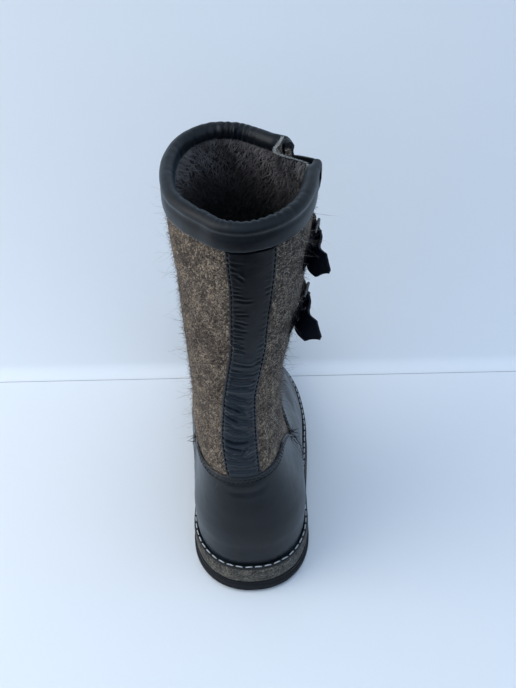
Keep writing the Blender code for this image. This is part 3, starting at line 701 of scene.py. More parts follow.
welt_leather = leather_finish(
    "welt_leather", (0.006, 0.006, 0.006), (0.014, 0.014, 0.014), 0.6, 0.8, 0.14
)
black_rubber = rubber_finish()
dark_nickel = metal_finish()
white_thread = thread_finish("white_thread", (0.56, 0.57, 0.57))
dark_thread = thread_finish("dark_thread", (0.0022, 0.0024, 0.003))
# The felt's wool hairs take the painted shade tint of the boot's outer side.
wool_hair = hair_finish(
    "wool_hair",
    (0.0, (0.007, 0.005, 0.0035)),
    (0.5, (0.075, 0.053, 0.039)),
    (1.0, (0.46, 0.355, 0.265)),
    shade_tinted=True,
)
pile_hair = hair_finish(
    "pile_hair",
    (0.0, (0.004, 0.0035, 0.003)),
    (0.5, (0.054, 0.047, 0.046)),
    (1.0, (0.18, 0.158, 0.15)),
)
cream_hair = hair_finish(
    "cream_hair", (0.0, (0.03, 0.026, 0.023)), (1.0, (0.62, 0.60, 0.55))
)


# ---- creases --------------------------------------------------------------------------------

Crease = namedtuple("Crease", "start end bow width depth")
DEGREE = 0.76  # mm round the shaft for one degree


def creased(across, up, creases):
    """How far soft troughs, each between two low ridges, move a face in and out."""
    height = np.zeros_like(across)
    for start, end, bow, width, depth in creases:
        run_x, run_y = end[0] - start[0], end[1] - start[1]
        length = math.hypot(run_x, run_y)
        from_x, from_y = across - start[0], up - start[1]
        along = (from_x * run_x + from_y * run_y) / length**2
        aside = (from_y * run_x - from_x * run_y) / length - bow * 4 * along * (1 - along)
        fade = soft_step(-0.12, 0.3, along) * soft_step(1.12, 0.7, along)
        ridges = bump(np.abs(aside) - 1.9 * width, width)
        height += depth * fade * (0.5 * ridges - bump(aside, width))
    return height


# Places are millimetres round the shaft from its back, and height.
BACK_CREASES = (
    Crease((24, 205), (29, 168), 2.0, 2.6, 0.9),
    Crease((25, 208), (33, 172), -1.5, 2.2, 0.7),
    Crease((41, 174), (46, 130), 2.0, 2.8, 0.9),
    Crease((20, 164), (20, 132), -2.0, 2.4, 0.8),
    Crease((28, 166), (31, 140), 3.0, 2.2, 0.7),
    Crease((31, 136), (29, 116), 1.5, 2.0, 0.6),
    Crease((-32, 200), (-26, 142), -3.0, 3.4, 0.8),
    Crease((-50, 164), (-43, 126), 2.0, 3.0, 0.7),
    Crease((-31, 246), (-33, 208), -2.5, 3.2, 0.5),
)
FRONT_CREASES = (
    Crease((92, 168), (176, 166), 4.0, 3.4, 1.3),
    Crease((100, 186), (168, 188), -3.0, 3.6, 1.0),
    Crease((108, 206), (160, 212), 3.0, 3.2, 0.7),
    Crease((70, 178), (96, 158), 2.0, 2.8, 0.8),
    Crease((176, 176), (204, 160), -2.0, 2.8, 0.8),
)
# Places are millimetres across and height.
STAY_CREASES = (
    Crease((-3.5, 302.6), (1.0, 297.0), 0.3, 0.9, 0.35),
    Crease((-4.8, 282.2), (6.5, 280.9), -0.8, 0.9, 0.30),
    Crease((-5.8, 269.5), (3.0, 269.2), 0.3, 0.8, 0.40),
    Crease((-7.3, 264.2), (2.6, 261.5), 0.3, 0.8, 0.45),
    Crease((-8.2, 257.3), (1.6, 254.8), -0.4, 0.9, 0.50),
    Crease((-9.8, 250.5), (0.0, 249.0), 0.5, 0.8, 0.40),
    Crease((-9.4, 244.3), (-1.8, 241.3), 0.9, 0.9, 0.65),
    Crease((-10.8, 239.7), (0.2, 236.3), 0.8, 0.9, 0.55),
    Crease((-9.2, 228.0), (5.4, 223.2), -0.9, 0.9, 0.35),
    Crease((4.2, 224.2), (13.6, 229.3), -0.3, 0.9, 0.35),
    Crease((-12.3, 218.2), (6.4, 215.2), -1.0, 0.9, 0.40),
    Crease((-13.0, 210.9), (7.0, 208.8), -1.4, 1.0, 0.50),
    Crease((-14.0, 203.2), (3.5, 200.5), -0.5, 1.0, 0.60),
    Crease((-15.5, 196.4), (0.6, 187.8), -0.6, 1.1, 0.90),
    Crease((-16.6, 186.2), (-2.0, 177.0), 0.5, 1.3, 1.25),
    Crease((-18.6, 177.4), (-4.4, 167.0), 0.4, 1.3, 1.25),
    Crease((-8.0, 171.5), (3.2, 166.0), -0.6, 1.0, 0.60),
    Crease((-14.7, 162.0), (-0.6, 157.0), -0.7, 1.0, 0.80),
    Crease((-20.4, 154.2), (3.6, 149.8), -3.4, 1.4, 1.35),
    Crease((-18.8, 148.0), (-1.6, 139.8), -0.9, 1.2, 1.10),
    Crease((-7.4, 135.6), (0.4, 141.6), -0.2, 1.0, 0.75),
    Crease((-17.4, 139.6), (-3.8, 133.8), 0.3, 1.1, 0.80),
    Crease((-17.6, 131.4), (2.0, 129.0), -1.2, 1.2, 0.50),
    Crease((-14.0, 122.0), (4.0, 121.0), -0.8, 1.2, 0.35),
)
COUNTER_CREASES = (
    Crease((-15.0, 109.2), (11.0, 108.8), -0.6, 1.2, 0.25),
    Crease((-11.0, 101.5), (15.0, 102.5), -2.2, 2.2, 0.30),
)
# Places are millimetres across and along the foot.
VAMP_CREASES = (
    Crease((-40.0, 196.0), (38.0, 203.0), 5.0, 2.2, 0.9),
    Crease((-41.0, 184.0), (34.0, 189.0), 6.0, 2.4, 1.1),
    Crease((-38.0, 173.0), (24.0, 174.0), 5.0, 2.2, 0.8),
    Crease((4.0, 178.0), (42.0, 194.0), -3.0, 2.0, 0.6),
    Crease((-44.0, 150.0), (-34.0, 176.0), 3.0, 2.6, 0.6),
    Crease((38.0, 132.0), (44.0, 164.0), -3.0, 2.6, 0.6),
)

# ---- the felt upper -------------------------------------------------------------------------

CORNER = TURN / 44  # between two corners of the solid upper
SLIT_REAR, SLIT_FRONT = 12 * CORNER, 15 * CORNER
SLIT_MIDDLE = (SLIT_REAR + SLIT_FRONT) / 2
SLIT_FOOT_Z, SLIT_FOOT_HALF = 214.0, math.radians(1.6)
COLLAR_Z = felt_ring(SLIT_REAR, TOP_LEVEL)[2]


def slit_half(z):
    """Half of the slit's width at a height, as an angle."""
    share = (z - SLIT_FOOT_Z) / (COLLAR_Z - SLIT_FOOT_Z)
    half = mix(SLIT_FOOT_HALF, (SLIT_FRONT - SLIT_REAR) / 2 - 0.018, np.maximum(0.0, share))
    return half * soft_step(SLIT_FOOT_Z - 0.8, SLIT_FOOT_Z + 0.8, z)


def slit_edges(z):
    return SLIT_MIDDLE - slit_half(z), SLIT_MIDDLE + slit_half(z)


def from_back(degrees):
    """Degrees from the back, from -180 to 180."""
    return (degrees + 180) % 360 - 180


def felt_place(u, v):
    level = TOP_LEVEL * v**0.8
    rear, front = slit_edges(felt_ring(SLIT_MIDDLE, level)[..., 2])
    angle = mix(front, rear + TURN, u)
    z = felt_ring(angle, level)[..., 2]
    around = from_back(np.degrees(angle)) * DEGREE
    inner = np.where(around < 0, around + 360 * DEGREE, around)
    out = creased(around, z, BACK_CREASES) + creased(inner, z, FRONT_CREASES)
    return upper_face(angle, level, out)


def make_upper():
    felt = wrapped("felt_upper", 200, 130, felt_place, joined=True)
    paint(felt, brown_felt, lining, brown_felt)
    roughen(felt, 14.0, 0.8, 2)
    roughen(felt, 3.0, 0.30)
    thicken(felt, FELT, material_offset=1, material_offset_rim=2)
    smooth_shading(felt)
    dress(felt, "brown_felt", None, "upper")


# ---- leather panels -------------------------------------------------------------------------

# Each panel's side edge as y and z from the sole up, and its top edge as y and z towards the side.
COUNTER_SIDE = ((94.5, 10), (97.0, 52), (98.5, 66), (96.5, 76), (91.0, 85))
COUNTER_TOP = ((-20, 114.5), (14, 114.5), (32, 116), (48, 116.5), (60, 111), (77, 98), (91, 85))
VAMP_SIDE = (
    (95.2, 10),
    (97.7, 52),
    (99.2, 66),
    (97.2, 76.4),
    (91.6, 86),
    (90.8, 102),
    (92.5, 117),
    (99.0, 133),
)
VAMP_TOP = ((99, 133), (110, 146), (124, 153), (160, 156), (320, 156))
PANEL_OUT = SEAM_GAP + LEATHER
PANEL_FOOT, FLARE_TOP = 0.12, 2.0  # levels
FLARE_INSET = 4.7
STITCH_ROWS = (2.5, 4.6)  # from a panel's edge
HANDS = (1.0, -1.0)  # the outer side and the inner side


def foot_flare(angle):
    """How far a panel's foot stands out over the welt, to end just inside its stitches."""
    foot, _, _, out = face_frame(angle, np.full_like(angle, PANEL_FOOT))
    run = sole_outline(angle, FLARE_INSET) - foot[..., :2]
    return np.sum(run * out[..., :2], -1) - PANEL_OUT


class Panel:
    """A leather panel of the galosh, with its side edges and its top edge on their outlines."""

    def __init__(self, side, top, at_front, run, rise, seam):
        self.side, self.top, self.at_front = side, top, at_front
        self.run, self.rise, self.seam = run, rise, seam
        corner_y, corner_z = side[-1]
        hand = np.array(HANDS)
        turn = np.full(2, 1.4)
        for _ in range(8):
            level = level_at(hand * turn, corner_z)
            turn = self.turn_at(hand, level, corner_y)
        self.corner_turn, self.corner_level = turn, level

    @staticmethod
    def turn_at(hand, level, y):
        low, high = np.full_like(level, 0.02), np.full_like(level, math.pi - 0.02)
        return solve(low, high, lambda turn: felt_ring(hand * turn, level)[..., 1] > y)

    def hand_at(self, across):
        """0 on the boot's outer side and 1 on its inner side."""
        return np.where(self.at_front, across >= 0, across < 0).astype(int)

    def angle(self, across, turn):
        """The angle at a share across the panel, from one side edge at -1 to the other at 1."""
        return math.pi + across * (math.pi - turn) if self.at_front else across * turn

    def edges(self, across, up):
        """The angle and level at shares across and up the panel."""
        side_y, side_z = zip(*self.side)
        top_y, top_z = zip(*self.top)
        ups, which_up = np.unique(up, return_inverse=True)
        turns = []
        for number, hand in enumerate(HANDS):
            level = mix(PANEL_FOOT, self.corner_level[number], ups)
            turn = np.full_like(level, self.corner_turn[number])
            for _ in range(3):
                z = felt_ring(hand * turn, level)[..., 2]
                turn = self.turn_at(hand, level, np.interp(z, side_z, side_y))
            turns.append(turn)
        turn = np.array(turns)[self.hand_at(across), which_up]
        acrosses, which = np.unique(across, return_inverse=True)
        top_angle = self.angle(acrosses, self.corner_turn[self.hand_at(acrosses)])

        def over(level):
            point = felt_ring(top_angle, level)
            return point[..., 2] > np.interp(point[..., 1], top_y, top_z)

        top_level = solve(0 * top_angle, 0 * top_angle + TOP_LEVEL, over)
        return self.angle(across, turn), mix(PANEL_FOOT, top_level[which], up)

    def line(self, across, up, lift):
        """Points on the panel's face, with their outward directions."""
        angle, level = self.edges(across, up)
        point, _, _, out = face_frame(angle, level)
        from_top = np.linalg.norm(point - felt_ring(*self.edges(across, 0 * up + 1)), axis=-1)
        side = np.where(across < 0, -1.0, 1.0)
        from_side = np.linalg.norm(point - felt_ring(*self.edges(side, up)), axis=-1)
        height = PANEL_OUT + lift(angle, point)
        height = height + edge_fold(from_top) + self.seam * edge_fold(from_side)
        height = height + foot_flare(angle) * soft_step(FLARE_TOP, PANEL_FOOT, level)
        return point + height[..., None] * out, out

    def place(self, u, v, lift):
        return self.line(2 * u - 1, v, lift)[0]


def edge_fold(distance):
    """A panel's edge is pressed into the felt, folds up behind it and dips at its stitch rows."""
    rows = sum(bump(distance - row, 0.6) for row in STITCH_ROWS)
    return 0.25 * bump(distance - 1.5, 0.7) - 0.9 * bump(distance, 0.8) - 0.4 * rows


# The last numbers are a panel's run and rise in mm, and how strongly its side seams are folded.
counter_panel = Panel(COUNTER_SIDE, COUNTER_TOP, False, 118.0, 88.0, 0.5)
vamp_panel = Panel(VAMP_SIDE, VAMP_TOP, True, 210.0, 125.0, 1.0)


def counter_lift(angle, point):
    return creased(from_back(np.degrees(angle)) * DEGREE, point[..., 2], COUNTER_CREASES)


def vamp_lift(angle, point):
    return creased(point[..., 0], point[..., 1], VAMP_CREASES) * soft_step(40, 62, point[..., 2])


def make_galosh():
    counter = wrapped("counter", 170, 90, lambda u, v: counter_panel.place(u, v, counter_lift))
    vamp = wrapped("vamp", 200, 100, lambda u, v: vamp_panel.place(u, v, vamp_lift))
    for panel, node in ((counter, "heel_counter"), (vamp, "vamp")):
        panel.name = panel.data.name = node + "_leather"
        roughen(panel, 18.0, 0.35)
        roughen(panel, 5.0, 0.08)
        finish_leather(panel, galosh_leather, node)


def finish_leather(panel, leather, node):
    thicken(panel, LEATHER)
    soften_edges(panel, 0.45)
    smooth_shading(panel)
    dress(panel, "black_leather", leather, node)


# Height, centre and half width.
STAY = (
    (115.1, -4.4, 12.0),
    (122.0, -5.3, 12.6),
    (150.0, -6.6, 12.8),
    (190.0, -5.2, 11.6),
    (213.0, -1.8, 11.9),
    (236.0, 1.8, 12.3),
    (256.0, 3.2, 12.8),
    (285.0, 5.3, 14.2),
    (307.0, 5.9, 15.8),
    (318.6, 6.0, 16.2),
)
STAY_FOOT, STAY_TOP = STAY[0][0], STAY[-1][0]
STAY_SEAM = 1.5  # from the stay's edge


def stay_at(z):
    """The stay's centre and half width at a height."""
    heights, centres, halves = zip(*STAY)
    return from_table(heights, centres, z), from_table(heights, halves, z)


def fine_creases():
    """Small gathers that run in from the stay's two seams."""
    gathers = []
    for side, reach, depth in ((-1, 7.5, 0.34), (1, 4.5, 0.26)):
        z = STAY_FOOT + 6.0
        while z < STAY_TOP - 3.0:
            centre, half = stay_at(z)
            edge = float(centre + side * (half - 2.0))
            length = reach * rng.uniform(0.5, 1.3)
            drop = rng.uniform(-0.4, 2.6)
            fade = mix(1.0, 0.4, float(soft_step(205.0, 240.0, z)))
            deep = depth * rng.uniform(0.2, 1.6) * fade
            bow, width = rng.normal(0, 0.3), rng.uniform(0.5, 0.9)
            gathers.append(Crease((edge, z), (edge - side * length, z - drop), bow, width, deep))
            z += rng.uniform(1.8, 5.6)
    return gathers


def back_face(x, z):
    """The angle and level of the shaft's back at a distance across and a height."""
    angle, level = x / 42.0, level_at(0 * x, z)
    for _ in range(3):
        low, high = np.full_like(x, -0.9), np.full_like(x, 0.9)
        angle = solve(low, high, lambda turn: felt_ring(turn, level)[..., 0] > x)
        level = level_at(angle, z)
    return angle, level


def stay_place(u, v):
    z = mix(STAY_FOOT, STAY_TOP, v)
    centre, half = stay_at(z)
    x = centre + (2 * u - 1) * half
    angle, level = back_face(x, z)
    from_edge = (1 - np.abs(2 * u - 1)) * half
    wave = TURN * (z / 4.4 + 0.35 * np.sin(z / 17.0)) + np.sign(u - 0.5)
    pucker = 0.5 + 0.5 * np.cos(wave)
    deeper = mix(1.9, 0.9, soft_step(200.0, 245.0, z))
    folds = deeper * creased(x, z, STAY_CREASES) + creased(x, z, fine_gathers)
    lift = folds * soft_step(0.6, 4.0, from_edge) - 1.1 * bump(from_edge, 0.9)
    lift = lift - bump(from_edge - STAY_SEAM, 0.8) * (0.5 + 0.4 * pucker)
    lift = lift + 0.15 * pucker * bump(from_edge - 3.6, 1.5)
    return upper_face(angle, level, PANEL_OUT + lift)


fine_gathers = fine_creases()


def make_stay():
    stay = wrapped("back_stay_leather", 60, 300, stay_place)
    roughen(stay, 9.0, 0.25)
    finish_leather(stay, stay_leather, "back_stay")


# ---- the collar -----------------------------------------------------------------------------

# The binding's section round the felt's top edge: how far out from its face and up from its edge,
# and how much the gathers pull it in.
BINDING = (
    (0.5, -13.8, 0.0),
    (1.9, -14.2, 0.0),
    (2.9, -12.6, 0.0),
    (3.0, -6.4, 0.0),
    (2.2, -2.4, 0.0),
    (3.1, 0.9, 0.05),
    (1.9, 3.9, 0.10),
    (-1.0, 5.5, 0.25),
    (-4.0, 5.0, 0.55),
    (-6.2, 3.0, 0.9),
    (-7.2, 0.0, 1.0),
    (-7.0, -4.2, 0.8),
    (-5.8, -4.9, 0.4),
    (-5.8, 0.5, 0.0),
    (0.5, 0.5, 0.0),
)
ROLL_CENTRE = (-1.8, -0.2)
# Gathers of the roll: degrees round from the back, half width in degrees, and depth in mm.
GATHERS = (
    (-22, 1.3, 0.5), (-18, 1.0, 0.7), (-13, 1.4, 0.6), (-7, 1.2, 0.8), (-2, 1.5, 0.4),
    (5, 1.2, 0.7), (11, 1.3, 0.8), (18, 1.6, 0.5), (26, 1.2, 0.8), (32, 1.4, 0.6), (40, 1.2, 0.7),
    (49, 1.5, 0.5), (60, 1.4, 0.4), (128, 1.2, 1.3), (135, 1.6, 0.5), (158, 1.5, 0.4),
    (166, 1.4, 0.7), (172, 1.2, 0.9), (177, 1.1, 1.2), (183, 1.2, 1.3), (188, 1.1, 1.0),
    (195, 1.4, 0.9), (203, 1.5, 0.6), (216, 1.6, 0.4), (240, 1.8, 0.3), (268, 1.6, 0.3),
    (300, 1.8, 0.4), (318, 1.5, 0.5), (329, 1.3, 0.5),
)


def edge_frame(angle):
    """The felt's top edge, with its outward and its upward direction."""
    edge, along, up, _ = face_frame(angle, np.full_like(angle, TOP_LEVEL))
    return edge, unit(np.cross(along, up)), up


def binding_place(u, v):
    angle = mix(SLIT_FRONT, SLIT_REAR + TURN, u)
    loop = np.array(BINDING[-1:] + BINDING + BINDING[:2])
    section = curve_through(loop, v * len(BINDING) + 1)
    out, up, pull = np.moveaxis(section, -1, 0)
    turn = np.degrees(angle) % 360
    gather = 0 * turn
    for middle, width, depth in GATHERS:
        away = from_back(turn - middle)
        ridges = bump(np.abs(away) - 2.4 * width, width)
        gather += depth * (bump(away, width) - 0.4 * ridges)
    slow = 0.25 * np.sin(turn / 9.0 + 1.0) + 0.18 * np.sin(turn / 4.1)
    slow = slow + 0.12 * np.sin(turn / 2.3 + 2.0)
    front_end = soft_step(SLIT_FRONT + 0.10, SLIT_FRONT, angle)
    rear_end = soft_step(SLIT_REAR + TURN - 0.20, SLIT_REAR + TURN - 0.02, angle)
    shrink = 1 - pull * ((gather + 0.5 * slow) / 5.5 + 0.4 * front_end + 0.6 * rear_end)
    out = ROLL_CENTRE[0] + (out - ROLL_CENTRE[0]) * shrink
    up = ROLL_CENTRE[1] + (up - ROLL_CENTRE[1]) * np.where(up > 0, shrink, 1.0)
    up = up + 0.5 * slow * (section[..., 1] < -9)
    edge, outward, upward = edge_frame(angle)
    return edge + out[..., None] * outward + up[..., None] * upward


def make_binding():
    binding = wrapped("collar_roll", 420, 60, binding_place, joined=True)
    on_all_of(binding, bpy.ops.mesh.fill_holes, sides=0)
    soften_edges(binding, 0.5)
    roughen(binding, 6.0, 0.18)
    smooth_shading(binding, 50)
    dress(binding, "black_leather", collar_leather, "collar_binding")


FLAP_END = math.radians(119)


def flap_place(u, v):
    """The binding's rear end, drawn out flat over the slit to a point."""
    angle = mix(SLIT_REAR - 0.11, FLAP_END, u)
    height = mix(13.0, 1.6, u**2.5)
    edge, outward, upward = edge_frame(angle)
    out = 3.3 - 4.3 * u + 0.6 * np.sin(3.0 * v)
    up = 1.6 + 0.6 * u - 5.0 * u**2 - height * (1 - v)
    return edge + out[..., None] * outward + up[..., None] * upward


def make_flap():
    flap = wrapped("collar_flap", 60, 24, flap_place)
    roughen(flap, 5.0, 0.4)
    thicken(flap, 1.4)
    soften_edges(flap, 0.5)
    smooth_shading(flap)
    dress(flap, "black_leather", collar_leather)


GUSSET = 1.8
FLANGE = math.radians(4.0)
# The gusset: height, where its crease runs along the slit, how deep its flanges and its crease
# lie inside the felt's face, and how much higher the crease and the front edge stand.
GUSSET_ROWS = (
    (217.0, 0.66, 7.4, 7.8, 0.0, 0.0),
    (240.0, 0.70, 7.4, 9.0, 0.0, 0.0),
    (262.0, 0.75, 7.4, 10.8, 0.0, 0.0),
    (285.0, 0.80, 7.4, 12.4, 0.0, 0.0),
    (308.0, 0.84, 7.4, 14.0, 0.0, 0.0),
    (327.0, 0.87, 7.4, 14.8, 0.0, 0.0),
    (331.0, 0.89, 9.0, 16.0, 0.5, 1.0),
    (338.5, 0.92, 8.6, 18.0, 2.6, 7.0),
)


def gusset_place(u, v):
    heights, *columns = zip(*GUSSET_ROWS)
    z = mix(heights[0], heights[-1], v)
    share, flange, fold, fold_rise, front_rise = (np.interp(z, heights, row) for row in columns)
    rear, front = slit_edges(z)
    # The section's corners from the rear flange to the front one: angle, depth and rise.
    corners = (
        (rear - FLANGE * (1 + 0.1 * fold_rise), flange - fold_rise, 0.0),
        (rear, flange - 0.8 * fold_rise, 0.1 * fold_rise),
        (mix(rear, front, share), fold, fold_rise),
        (front - 0.004, flange, front_rise),
        (front + FLANGE, flange - 0.6 * front_rise, front_rise),
    )
    points = []
    for angle, depth, rise in corners:
        point = upper_face(angle, level_at(angle, z), GUSSET / 2 - depth)
        point[..., 2] = z + rise
        points.append(point)
    points, which = np.stack(points), np.arange(len(u))
    middle = np.interp(u, (0.0, 0.10, 0.62, 0.90, 1.0), np.arange(5))
    rounded = 0
    for aside in (-0.3, -0.15, 0.0, 0.15, 0.3):
        at = np.clip(middle + aside, 0, 4)
        low = np.clip(at.astype(int), 0, 3)
        rounded += mix(points[low, which], points[low + 1, which], (at - low)[..., None])
    return rounded / 5


def make_gusset():
    gusset = wrapped("gusset_felt", 60, 90, gusset_place)
    paint(gusset, brown_felt, lining, cream_edge)
    add_step(gusset, "SMOOTH", factor=0.5, iterations=3)
    roughen(gusset, 4.0, 0.5)
    thicken(gusset, GUSSET, material_offset=1, material_offset_rim=2)
    soften_edges(gusset, 0.4)
    smooth_shading(gusset)
    dress(gusset, "brown_felt", None, "gusset")


make_upper()
make_galosh()
make_stay()
make_binding()
make_flap()
make_gusset()

# ---- the sole -------------------------------------------------------------------------------

# The sides of the layers: inset from the sole's outline and height.
OUTSOLE_SIDE = ((2.6, 0.0), (0.9, 2.2), (0.0, 3.4), (0.0, 6.4), (1.1, 7.4), (1.1, 11.0))
MIDSOLE_SIDE = ((1.6, 0.0), (1.0, 2.5), (0.6, 7.0), (0.6, 11.0), (1.1, 13.5))
INSOLE_SIDE = ((15.4, 0.0), (15.4, 4.0))
WELT_SECTION = (
    (1.1, 0.0),
    (0.8, 0.8),
    (0.9, 1.7),
    (1.4, 2.3),
    (2.0, 2.15),
    (2.6, 2.1),
    (3.1, 2.3),
    (3.6, 1.9),
    (3.9, 1.0),
    (5.2, 0.9),
    (5.5, 0.1),
)
TREAD_Y = (16, 30, 62, 76, 145, 159, 177, 191, 205, 219, 233, 247, 261)
GROOVE_DEPTH = 2.4
GROOVE_TOOL = (160.0, 3.2, GROOVE_DEPTH + 4.0)  # the box that cuts a groove
SPINE_END = 44.0


def sole_layer(name, side, bottom, columns, rows, lower_face=None):
    """A layer of the sole: rows from under its middle, up its side and back over its top."""

    def place(u, v):
        angle = TURN * u
        outwards = np.interp(v, (0.0, 0.25, 0.75, 1.0), (0, 1, 1, 0))
        at = np.interp(v, (0.25, 0.75), (0, len(side) - 1))
        inset, height = (np.interp(at, np.arange(len(side)), part) for part in zip(*side))
        x, y = np.moveaxis(sole_outline(angle, inset), -1, 0)
        spine_y = plan_edge(SOLE_PLAN, angle)[1] * SOLE_LENGTH
        spine_y = np.clip(spine_y, SPINE_END, SOLE_LENGTH - SPINE_END)
        keys, swings, _ = zip(*SOLE_PLAN)
        x = mix(from_table(keys, swings, spine_y / SOLE_LENGTH), x, outwards)
        y = mix(spine_y, y, outwards)
        z = bottom + height + toe_spring(y)
        if lower_face:
            z = z + lower_face(y) * np.clip(1 - at, 0, 1)
        return np.stack([x, y, z], -1)

    return wrapped(name, columns, rows, place, joined=True)


def cut_tread(outsole):
    nothing_selected()
    bpy.ops.mesh.primitive_cube_add(size=1)
    groove = bpy.context.active_object
    size = tuple(side * MM for side in GROOVE_TOOL)
    on_all_of(groove, bpy.ops.transform.resize, value=size)
    middle = GROOVE_DEPTH - GROOVE_TOOL[2] / 2
    places = [((0, y, toe_spring(y) + middle), *np.eye(3)) for y in TREAD_Y]
    cut_away(outsole, repeated("grooves", groove, places))


def make_sole():
    outsole = sole_layer("outsole_rubber", OUTSOLE_SIDE, 0.0, 260, 40, arch)
    cut_tread(outsole)
    soften_edges(outsole, 0.3, 1, 35)
    smooth_shading(outsole)
    dress(outsole, "black_rubber", black_rubber, "outsole")
    midsole = sole_layer("midsole_felt", MIDSOLE_SIDE, MIDSOLE_Z, 300, 40)
    roughen(midsole, 7.0, 0.4, 2)
    roughen(midsole, 2.0, 0.25)
    smooth_shading(midsole)
    dress(midsole, "grey_felt", sole_felt, "midsole")
    insole = sole_layer("insole_felt", INSOLE_SIDE, UPPER_Z, 160, 30)
    soften_edges(insole, 0.8)
    roughen(insole, 6.0, 0.5)
    smooth_shading(insole)
    dress(insole, "grey_felt", sole_felt, "insole")


def welt_place(u, v):
    loop = np.array(WELT_SECTION + WELT_SECTION[:1])
    at = v * (len(loop) - 1)
    inset, height = (np.interp(at, np.arange(len(loop)), part) for part in loop.T)
    x, y = np.moveaxis(sole_outline(TURN * u, inset), -1, 0)
    return np.stack([x, y, UPPER_Z + height + toe_spring(y)], -1)


def make_welt():
    welt = wrapped("welt_leather", 360, 30, welt_place, joined=True)
    roughen(welt, 6.0, 0.15)
    smooth_shading(welt)
    dress(welt, "black_leather", welt_leather, "welt")


# ---- stitches -------------------------------------------------------------------------------


STITCH_SPREAD = 0.08  # how unevenly the stitches follow each other


def spaced(points, outs, pitch):
    """Even places along a line of points, each with its directions along, across and out."""
    run = np.concatenate([[0.0], np.cumsum(np.linalg.norm(np.diff(points, axis=0), axis=1))])
    count = int(run[-1] / pitch)
    at = (np.arange(count) + 0.5) * run[-1] / count + rng.normal(0, STITCH_SPREAD, count)

    def along_line(values, place):
        return np.stack([np.interp(place, run, part) for part in values.T], -1)

    along = unit(along_line(points, at + pitch / 3) - along_line(points, at - pitch / 3))
    across = unit(np.cross(along_line(outs, at), along))
    return along_line(points, at), along, across, np.cross(along, across)


def stitch(length, width):
    """A stitch: a rounded bar whose ends dip into the leather."""
    nothing_selected()
    bpy.ops.mesh.primitive_uv_sphere_add(segments=8, ring_count=8, radius=0.5)
    bar = bpy.context.active_object
    y, z, x = get_points(bar).T
    reach = np.sign(x) * np.abs(2 * x) ** 0.6  # from -1 at one end to 1 at the other
    body = (1 - reach**4) ** 0.25 * width / 2 / (np.hypot(y, z) + 1e-9)
    dip = 0.35 * width * reach**2
    set_points(bar, np.stack([reach * length / 2, y * body, z * body - dip], -1) * MM)
    return bar


def stitched(name, lines, size, pitch, finish, sunk):
    """Rows of stitches along lines, each line its points and their outward directions."""
    places = []
    for points, outs in lines:
        middle, along, across, out = spaced(points, outs, pitch)
        turn = rng.normal(0, 0.05, len(middle))[:, None]
        cos, sin = np.cos(turn), np.sin(turn)
        along, across = along * cos + across * sin, across * cos - along * sin
        places += list(zip(middle - sunk * out, along, across, out))
    dress(repeated(name, stitch(*size), places), None, finish)


def welt_line(inset, height):
    angle = np.linspace(0, TURN, 900)
    x, y = np.moveaxis(sole_outline(angle, inset), -1, 0)
    points = np.stack([x, y, UPPER_Z + height + toe_spring(y)], -1)
    return points, np.tile((0.0, 0.0, 1.0), (len(angle), 1))


def panel_lines(panel, lift):
    """Lines on a panel beside its top edge and its two side edges."""
    share, rise = np.linspace(-1, 1, 400), np.linspace(0.03, 1, 160)
    rows = [(1 - inset / panel.run, 1 - inset / panel.rise) for inset in STITCH_ROWS]
    for across, up in rows:
        yield panel.line(share * across, 0 * share + up, lift)
    for hand in (-1, 1):
        for across, up in rows:
            yield panel.line(0 * rise + hand * across, rise * up, lift)


def stay_line(side):
    z = np.linspace(STAY_FOOT + 1.0, STAY_TOP, 300)
    centre, half = stay_at(z)
    point, _, _, out = face_frame(*back_face(centre + side * (half - STAY_SEAM), z))
    return point + (PANEL_OUT - 0.35) * out, out


def make_stitches():
    """Each kind of stitch: its lines, length and width, pitch, thread, and how deep it sits."""
    stitched("welt_stitches", [welt_line(2.3, 2.3)], (5.9, 1.05), 7.6, white_thread, 0.0)
    lines = [*panel_lines(counter_panel, counter_lift), *panel_lines(vamp_panel, vamp_lift)]
    stitched("galosh_stitches", lines, (2.6, 0.75), 3.5, dark_thread, 0.15)
    lines = [stay_line(side) for side in (-1, 1)]
    stitched("stay_stitches", lines, (3.1, 1.05), 4.1, dark_thread, 0.08)


# ---- straps and buckles ---------------------------------------------------------------------
# A buckle's own axes start on the felt under its rear bar: s runs back along the strap, out away
# from the felt and w up the shaft.

STRAP, TAB = 1.6, 1.0  # thicknesses of leather
STRAP_HALF, SLOT_HALF = 10.0, 1.2  # half widths
WIRE, PRONG = 1.0, 0.8  # radii
BAR_OUT, FRONT_BAR_OUT = 3.3, 4.4
FRAME_LENGTH = 16.0
FRAME_HALF = STRAP_HALF + 0.6 + WIRE
FRAME_CORNER = 3.2
StrapRow = namedtuple("StrapRow", "name z turn tail_lift tail_flare")
STRAPS = (
    StrapRow("upper", 289.0, 79.5, 3.5, 1.5),
    StrapRow("lower", 240.5, 74.5, 5.0, 4.5),
)
SEWN_FROM, SEWN_TO = 19, 12  # corners of the solid upper
